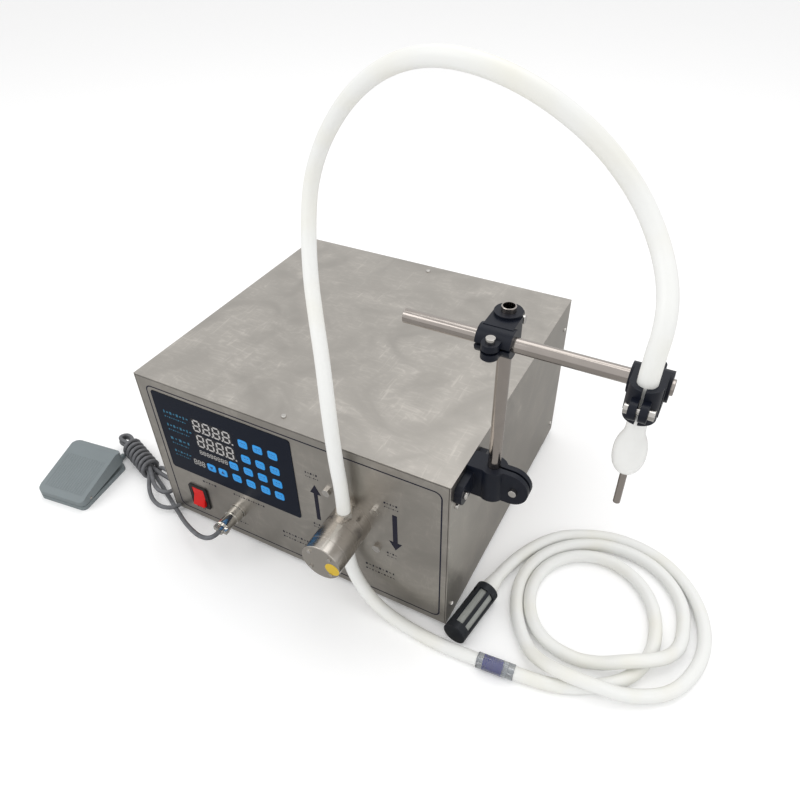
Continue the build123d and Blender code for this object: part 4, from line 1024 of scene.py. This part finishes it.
# ------------------------------------------------------------------ cords
class Cord:
    """A flexible cord along a smooth curve through given control points."""

    def __init__(self, name: str, points: Iterable[Point], radius: float) -> None:
        """Keep the piece's name, its control points in metres and its radius."""
        self.name = name
        self.points = list(points)
        self.radius = radius

    def _curve(self, bevel: float) -> bpy.types.Object:
        """The curve object.

        Args:
            bevel: its tube radius, or zero for a bare line.

        Returns:
            The curve's object.
        """
        data = bpy.data.curves.new(self.name, "CURVE")
        data.dimensions = "3D"
        data.resolution_u = 8
        data.bevel_depth = bevel
        data.bevel_resolution = 5
        data.use_fill_caps = True
        spline = data.splines.new("NURBS")
        spline.points.add(len(self.points) - 1)
        for point, place in zip(spline.points, self.points):
            point.co = (*place, 1.0)
        spline.order_u = 3
        spline.use_endpoint_u = True
        piece = bpy.data.objects.new(self.name, data)
        bpy.context.scene.collection.objects.link(piece)
        return piece

    def whole(self) -> bpy.types.Object:
        """The cord as one curve piece."""
        return self._curve(self.radius)

    def line(self) -> list[Vector]:
        """Points read from the bare curve.

        Returns:
            The centreline.
        """
        bare = self._curve(0.0)
        bpy.context.view_layer.update()
        mesh = bpy.data.meshes.new_from_object(bare)
        found = [v.co.copy() for v in mesh.vertices]
        bpy.data.meshes.remove(mesh)
        bpy.data.objects.remove(bare)
        return found

    def length(self) -> float:
        """The cord's length in metres."""
        return length_of(self.line())

    def span(self, name: str, line: Sequence[Vector], first: int, last: int) -> bpy.types.Object:
        """A closed mesh tube along part of the centreline.

        Args:
            name: the piece's name.
            line: the whole cord's points.
            first: the point it starts from.
            last: the point it ends at.

        Returns:
            The piece.
        """
        shape = bmesh.new()
        heading = (line[first + 1] - line[first]).normalized()
        side = heading.orthogonal().normalized()
        rings: list[list[bmesh.types.BMEdge]] = []
        for index in range(first, last + 1):
            ahead = (line[min(index + 1, len(line) - 1)] - line[max(index - 1, 0)]).normalized()
            side = (heading.rotation_difference(ahead) @ side).normalized()
            heading = ahead
            frame = Matrix((side, heading.cross(side), heading)).transposed().to_4x4()
            made = bmesh.ops.create_circle(
                shape, cap_ends=index in (first, last), segments=28, radius=self.radius,
                matrix=Matrix.Translation(line[index]) @ frame,
            )
            ring = {e for v in made["verts"] for e in v.link_edges}
            rings.append([e for e in ring if all(v in made["verts"] for v in e.verts)])
        for near, far in zip(rings, rings[1:]):
            bmesh.ops.bridge_loops(shape, edges=near + far)
        for edge in {e for f in shape.faces if len(f.verts) > 4 for e in f.edges}:
            edge.smooth = False
        return close(shape, name)


def length_of(line: Sequence[Vector]) -> float:
    """A line's length in metres."""
    return sum((b - a).length for a, b in zip(line, line[1:]))


def metres(route: Iterable[Point]) -> list[Point]:
    """A route in millimetres, made metres."""
    return [tuple(value * MM for value in point) for point in route]


@dataclass
class OutletHose:
    """Milky hose from the pump over to the nozzle, in five spans."""

    radius: float = 6.5 * MM
    route: tuple[Point, ...] = (
        (89, -146.5, 136), (89, -146.5, 163), (87, -147.5, 194), (82.5, -143.5, 225), (74, -133, 254),
        (61, -116, 280), (46, -98, 304), (31, -79, 330), (20, -60, 361), (17, -46, 397), (33, -44, 435),
        (69, -58, 475), (114, -80, 504), (160, -98, 517), (207, -98, 508), (248, -86, 481), (277, -77, 449),
        (298, -88, 424), (311, -107, 406), (316, -123, 390), (315, -132.5, 366), (315, -132.5, 340),
    )
    chain: tuple[str, ...] = ("cabinet", "upright", "cross_head", "arm", "nozzle_head", "nozzle")
    shares: tuple[float, ...] = (0.0, 0.29, 0.62, 0.73, 0.84, 1.0)

    def build(self, works: Works) -> None:
        """Make the five spans.

        Args:
            works: the shared maker.
        """
        cord = Cord("outlet_hose", metres(self.route), self.radius)
        line = cord.line()
        cuts = [round(share * (len(line) - 1)) for share in self.shares]
        stands_for = (("outlet_hose_1",), ("outlet_hose_2",), (), ("outlet_hose_3",), ("outlet_hose_4",))
        for number, (first, last) in enumerate(zip(cuts, cuts[1:])):
            piece = cord.span(f"hose_span_{number + 1}", line, first, last)
            works.finishes.dress(piece, "silicone_hose")
            if stands_for[number]:
                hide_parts(*stands_for[number])
            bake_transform(piece)


@dataclass
class IntakeHose:
    """Milky hose from the pump's lower port through the check valve and a loose coil to the strainer."""

    radius: float = 6.5 * MM
    short_route: tuple[Point, ...] = (
        (89, -146.5, 85), (89, -146.5, 66.5), (95, -148, 47.5), (107, -150, 29.5), (124, -151.5, 14.5),
        (146, -153.5, 7.5), (172, -156, 6.5), (203, -157.5, 7.5), (232, -155, 7.5),
    )
    lead: tuple[Point, ...] = ((267.87, -151.91, 7.5), (290, -150, 7.5), (313, -144, 6.5), (336, -132, 6.5))
    tail: tuple[Point, ...] = (
        (264, 31.5, 6.5), (244, 12, 6.5), (229.5, -12, 6.5), (220.5, -36, 8), (215.5, -60, 12), (212, -82, 12),
    )
    centre: tuple[float, float] = (311.0, -47.0)
    step: float = 30.0
    first_turn: tuple[float, ...] = (65, 62.5, 62.8, 64.5, 63.5, 62.5, 62.5, 64.5, 68, 66, 68)
    second_turn: tuple[float, ...] = (90, 94.5, 92, 84.5, 78.5, 76, 76, 78)
    third_turn: tuple[float, ...] = (111, 113, 110, 105.5, 98)

    def stations(self) -> list[tuple[float, float, float]]:
        """The coil's points, turn by turn, with a hump over each crossing.

        Returns:
            Angle in degrees, radius and height in millimetres.
        """
        low = self.radius / MM
        found = [(-50.0, 82.0, low), (-25.0, 72.5, low)]
        found += [(self.step * i, r, low) for i, r in enumerate(self.first_turn[:-1])]
        found += [(292.0, 66.0, 10.0), (309.0, 71.0, 20.5), (330.0, 81.0, 20.5), (345.0, 86.0, 11.0)]
        found += [(360.0 + self.step * i, r, low) for i, r in enumerate(self.second_turn)]
        found += [
            (598.0, 85.0, low), (613.0, 89.5, 12.5), (628.0, 92.5, 20.8), (647.0, 95.0, 20.8), (665.0, 100.0, 11.0),
        ]
        found += [(690.0 + self.step * i, r, low) for i, r in enumerate(self.third_turn)]
        return found

    def build(self, works: Works) -> None:
        """Make both hoses.

        Args:
            works: the shared maker.
        """
        short = Cord("intake_hose_short", metres(self.short_route), self.radius).whole()
        works.add(short, "silicone_hose", "cabinet", "silicone_hose", "intake_hose_1")
        tuple(metres(self.short_route)[0])
        x, y = self.centre
        turns = [
            (x + r * math.cos(math.radians(a)), y + r * math.sin(math.radians(a)), z) for a, r, z in self.stations()
        ]
        route = metres([*self.lead, *turns, *self.tail])
        coil = Cord("intake_hose_coil", route, self.radius)
        measured, long = coil.length(), coil.whole()
        works.add(
            long, "silicone_hose", "cabinet", "silicone_hose", "intake_hose_2", "intake_coil", "intake_hose_3",
        )
        LOG.info("intake coil: %.3f m", measured)


@dataclass
class PedalCable:
    """Grey cable from the plug to a wrapped hank and into the pedal."""

    radius: float = 2.5 * MM
    front_run: tuple[Point, ...] = (
        (-60, -167.5, 47.3), (-60, -175, 47.3), (-68, -179.5, 45), (-81, -178, 41), (-98, -171.5, 35),
        (-115, -163.5, 28), (-131, -154.5, 20), (-144, -146.5, 12), (-156, -139.5, 5), (-168, -133, 3.2),
        (-190, -122, 3.0),
    )
    start: tuple[float, float] = (-287.0, -84.0)
    neck: tuple[float, float] = (-222.0, -108.5)
    axis_height: float = 12.9
    wrap_radius: float = 10.4
    wraps: int = 7
    gland: Point = (-281.2, -99.7, 3.6)

    def _along(self, distance: float, side: float, z: float) -> Point:
        """A point, in millimetres, along the hank's axis from its pedal end, to its back and at a height."""
        (x, y), run = self.start, (Vector(self.neck) - Vector(self.start)).normalized()
        return (x + run.x * distance - run.y * side, y + run.y * distance + run.x * side, z)

    def _points(self) -> list[Point]:
        """The whole route.

        Returns:
            Control points in millimetres.
        """
        at = self._along
        z = self.axis_height
        route = [*self.front_run]
        # first strand lies lowest, and turns back at the pedal end
        route += [at(86, 0, 6.5), at(66, 0, z - 4.3), at(36, 0, z - 4.3), at(10, 0, z - 4.3)]
        route += [at(3, 3.5, z - 3.8), at(-2, 6.5, z - 2.6), at(-9, 4.5, z - 1.4)]
        route += [at(-10, -3.5, z - 0.6), at(-3, -7, z - 0.2), at(6, -4.5, z)]
        # second strand out to the fan, round its tip and back
        route += [at(16, -2.6, z), at(38, -2.6, z), at(66, -2.6, z), at(80, -8, z), at(96, -17, z - 2)]
        route += [at(114, -21, 8.5), at(130, -18, 8), at(141, -7, 8), at(140, 5, 8)]
        route += [at(128, 13, 8.4), at(107, 12, z - 1)]
        route += [at(86, 6, z), at(66, 2.6, z), at(38, 2.6, z), at(14, 2.6, z), at(5, 4.5, z + 0.3)]
        route += [at(-2, 7.5, z + 1.4), at(-9, 5, z + 2.8), at(-10, -3.5, z + 4.0)]
        route += [at(-3, -6, z + 4.8), at(6, -3, z + 4.8)]
        # third strand on top, out to a shorter tip
        route += [at(16, 0, z + 4.4), at(38, 0, z + 4.4), at(66, 0, z + 4.4), at(82, -5, 15.5), at(98, -10, 14.2)]
        route += [at(113, -9, 13.8), at(121, 0, 13.8), at(117, 10, 14.5), at(104, 14.5, 16.5), at(90, 14, 16.5)]
        # wraps from the neck to the pedal end
        steps = self.wraps * 12 + 3
        for step in range(steps + 1):
            angle = math.radians(-30 * step)
            distance = 72 - 61 * step / steps
            route.append(at(distance, self.wrap_radius * math.cos(angle), z + self.wrap_radius * math.sin(angle)))
        return route

    def build(self, works: Works) -> None:
        """Make the cable.

        Args:
            works: the shared maker.
        """
        end = [self._along(10.4, -6.5, 3.0), self._along(10.6, -11.5, 3.3), self.gland]
        route = metres(self._points() + end)
        cord = Cord("pedal_cable_run", route, self.radius)
        measured, cable = cord.length(), cord.whole()
        works.add(cable, "cable_grey", "cabinet", "cable_grey", "pedal_cable", "cable_hank")
        LOG.info("pedal cable: %.3f m", measured)


# ------------------------------------------------------------------ studio
@dataclass
class Studio:
    """Pale floor, soft lights and the camera."""

    eye: Point = (341.6 * MM, -493.7 * MM, 616.7 * MM)
    ahead: Point = (-0.3719, 0.6761, -0.6361)
    up: Point = (-0.2849, 0.5690, 0.7714)
    lens: float = 31.18

    def build(self) -> None:
        """Set the whole studio."""
        scene = bpy.context.scene
        scene.view_settings.view_transform = "Standard"
        self._floor()
        self._world(scene)
        for name, place, size, power in (
            ("key_light", (-1.0, -0.9, 1.6), 1.2, 8.0), ("top_light", (0.2, 0.5, 1.9), 1.4, 8.0),
            ("side_light", (1.5, -0.4, 1.0), 0.9, 2.5),
        ):
            self._light(name, place, size, power)
        self._camera(scene)

    def _floor(self) -> None:
        """The pale floor, with a painted dark reflection: glossy rays see it dark grey."""
        shape = bmesh.new()
        bmesh.ops.create_grid(shape, x_segments=1, y_segments=1, size=6.0)
        floor = close(shape, "studio_floor", False)
        paint = Paint("floor_white_dark_in_reflections")
        cloud = paint.noise(2.0)
        pale = paint.blend(cloud, (0.955, 0.955, 0.955, 1), (0.965, 0.965, 0.965, 1))
        # painted reflection: glossy rays see the floor dark grey, so the steel reflects a floor darker than the lit
        # one
        dark_reflection_mask = paint.node("ShaderNodeLightPath", {}, {}, "Is Glossy Ray")
        paint.set(
            Base_Color=paint.blend(dark_reflection_mask, pale, (0.36, 0.355, 0.345, 1)), Roughness=0.7,
            Emission_Color=(1, 1, 1, 1), Emission_Strength=0.08,
        )
        floor.data.materials.append(paint.material)

    def _world(self, scene: bpy.types.Scene) -> None:
        """The soft surround.

        Args:
            scene: the scene.
        """
        world = bpy.data.worlds.new("soft_surround")
        world.use_nodes = True
        sky = world.node_tree.nodes["Background"]
        sky.inputs["Color"].default_value = (1.0, 1.0, 1.0, 1.0)
        sky.inputs["Strength"].default_value = 0.85
        scene.world = world

    def _light(self, name: str, place: Point, size: float, power: float) -> None:
        """One soft square light that faces the cabinet.

        Args:
            name: its name.
            place: where it hangs.
            size: its side.
            power: its watts.
        """
        data = bpy.data.lights.new(name, "AREA")
        data.size = size
        data.energy = power
        lamp = bpy.data.objects.new(name, data)
        lamp.location = place
        lamp.rotation_euler = (Vector((0.0, -0.05, 0.1)) - Vector(place)).to_track_quat("-Z", "Y").to_euler()
        bpy.context.scene.collection.objects.link(lamp)

    def _camera(self, scene: bpy.types.Scene) -> None:
        """The camera.

        Args:
            scene: the scene.
        """
        data = bpy.data.cameras.new("view")
        data.lens = self.lens
        data.sensor_width = 36.0
        data.clip_start = 0.01
        camera = bpy.data.objects.new("view", data)
        ahead, up = Vector(self.ahead).normalized(), Vector(self.up)
        right = ahead.cross(up).normalized()
        up = right.cross(ahead)
        turn = Matrix((right, up, -ahead)).transposed().to_4x4()
        camera.matrix_world = Matrix.Translation(self.eye) @ turn
        scene.collection.objects.link(camera)
        scene.camera = camera


def main() -> None:
    """Build the filler and its studio."""
    logging.basicConfig(level=logging.INFO, format="%(message)s")
    works = Works()
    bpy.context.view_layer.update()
    works.finish_all()
    Studio().build()
    for part in (Cabinet(), ControlPanel(), Pump(), Stand(), Pedal(), Strainer()):
        part.build(works)
        LOG.info("%s built", type(part).__name__)
    for cord in (OutletHose(), IntakeHose(), PedalCable()):
        cord.build(works)
        LOG.info("%s laid", type(cord).__name__)


if __name__ == "__main__":
    main()
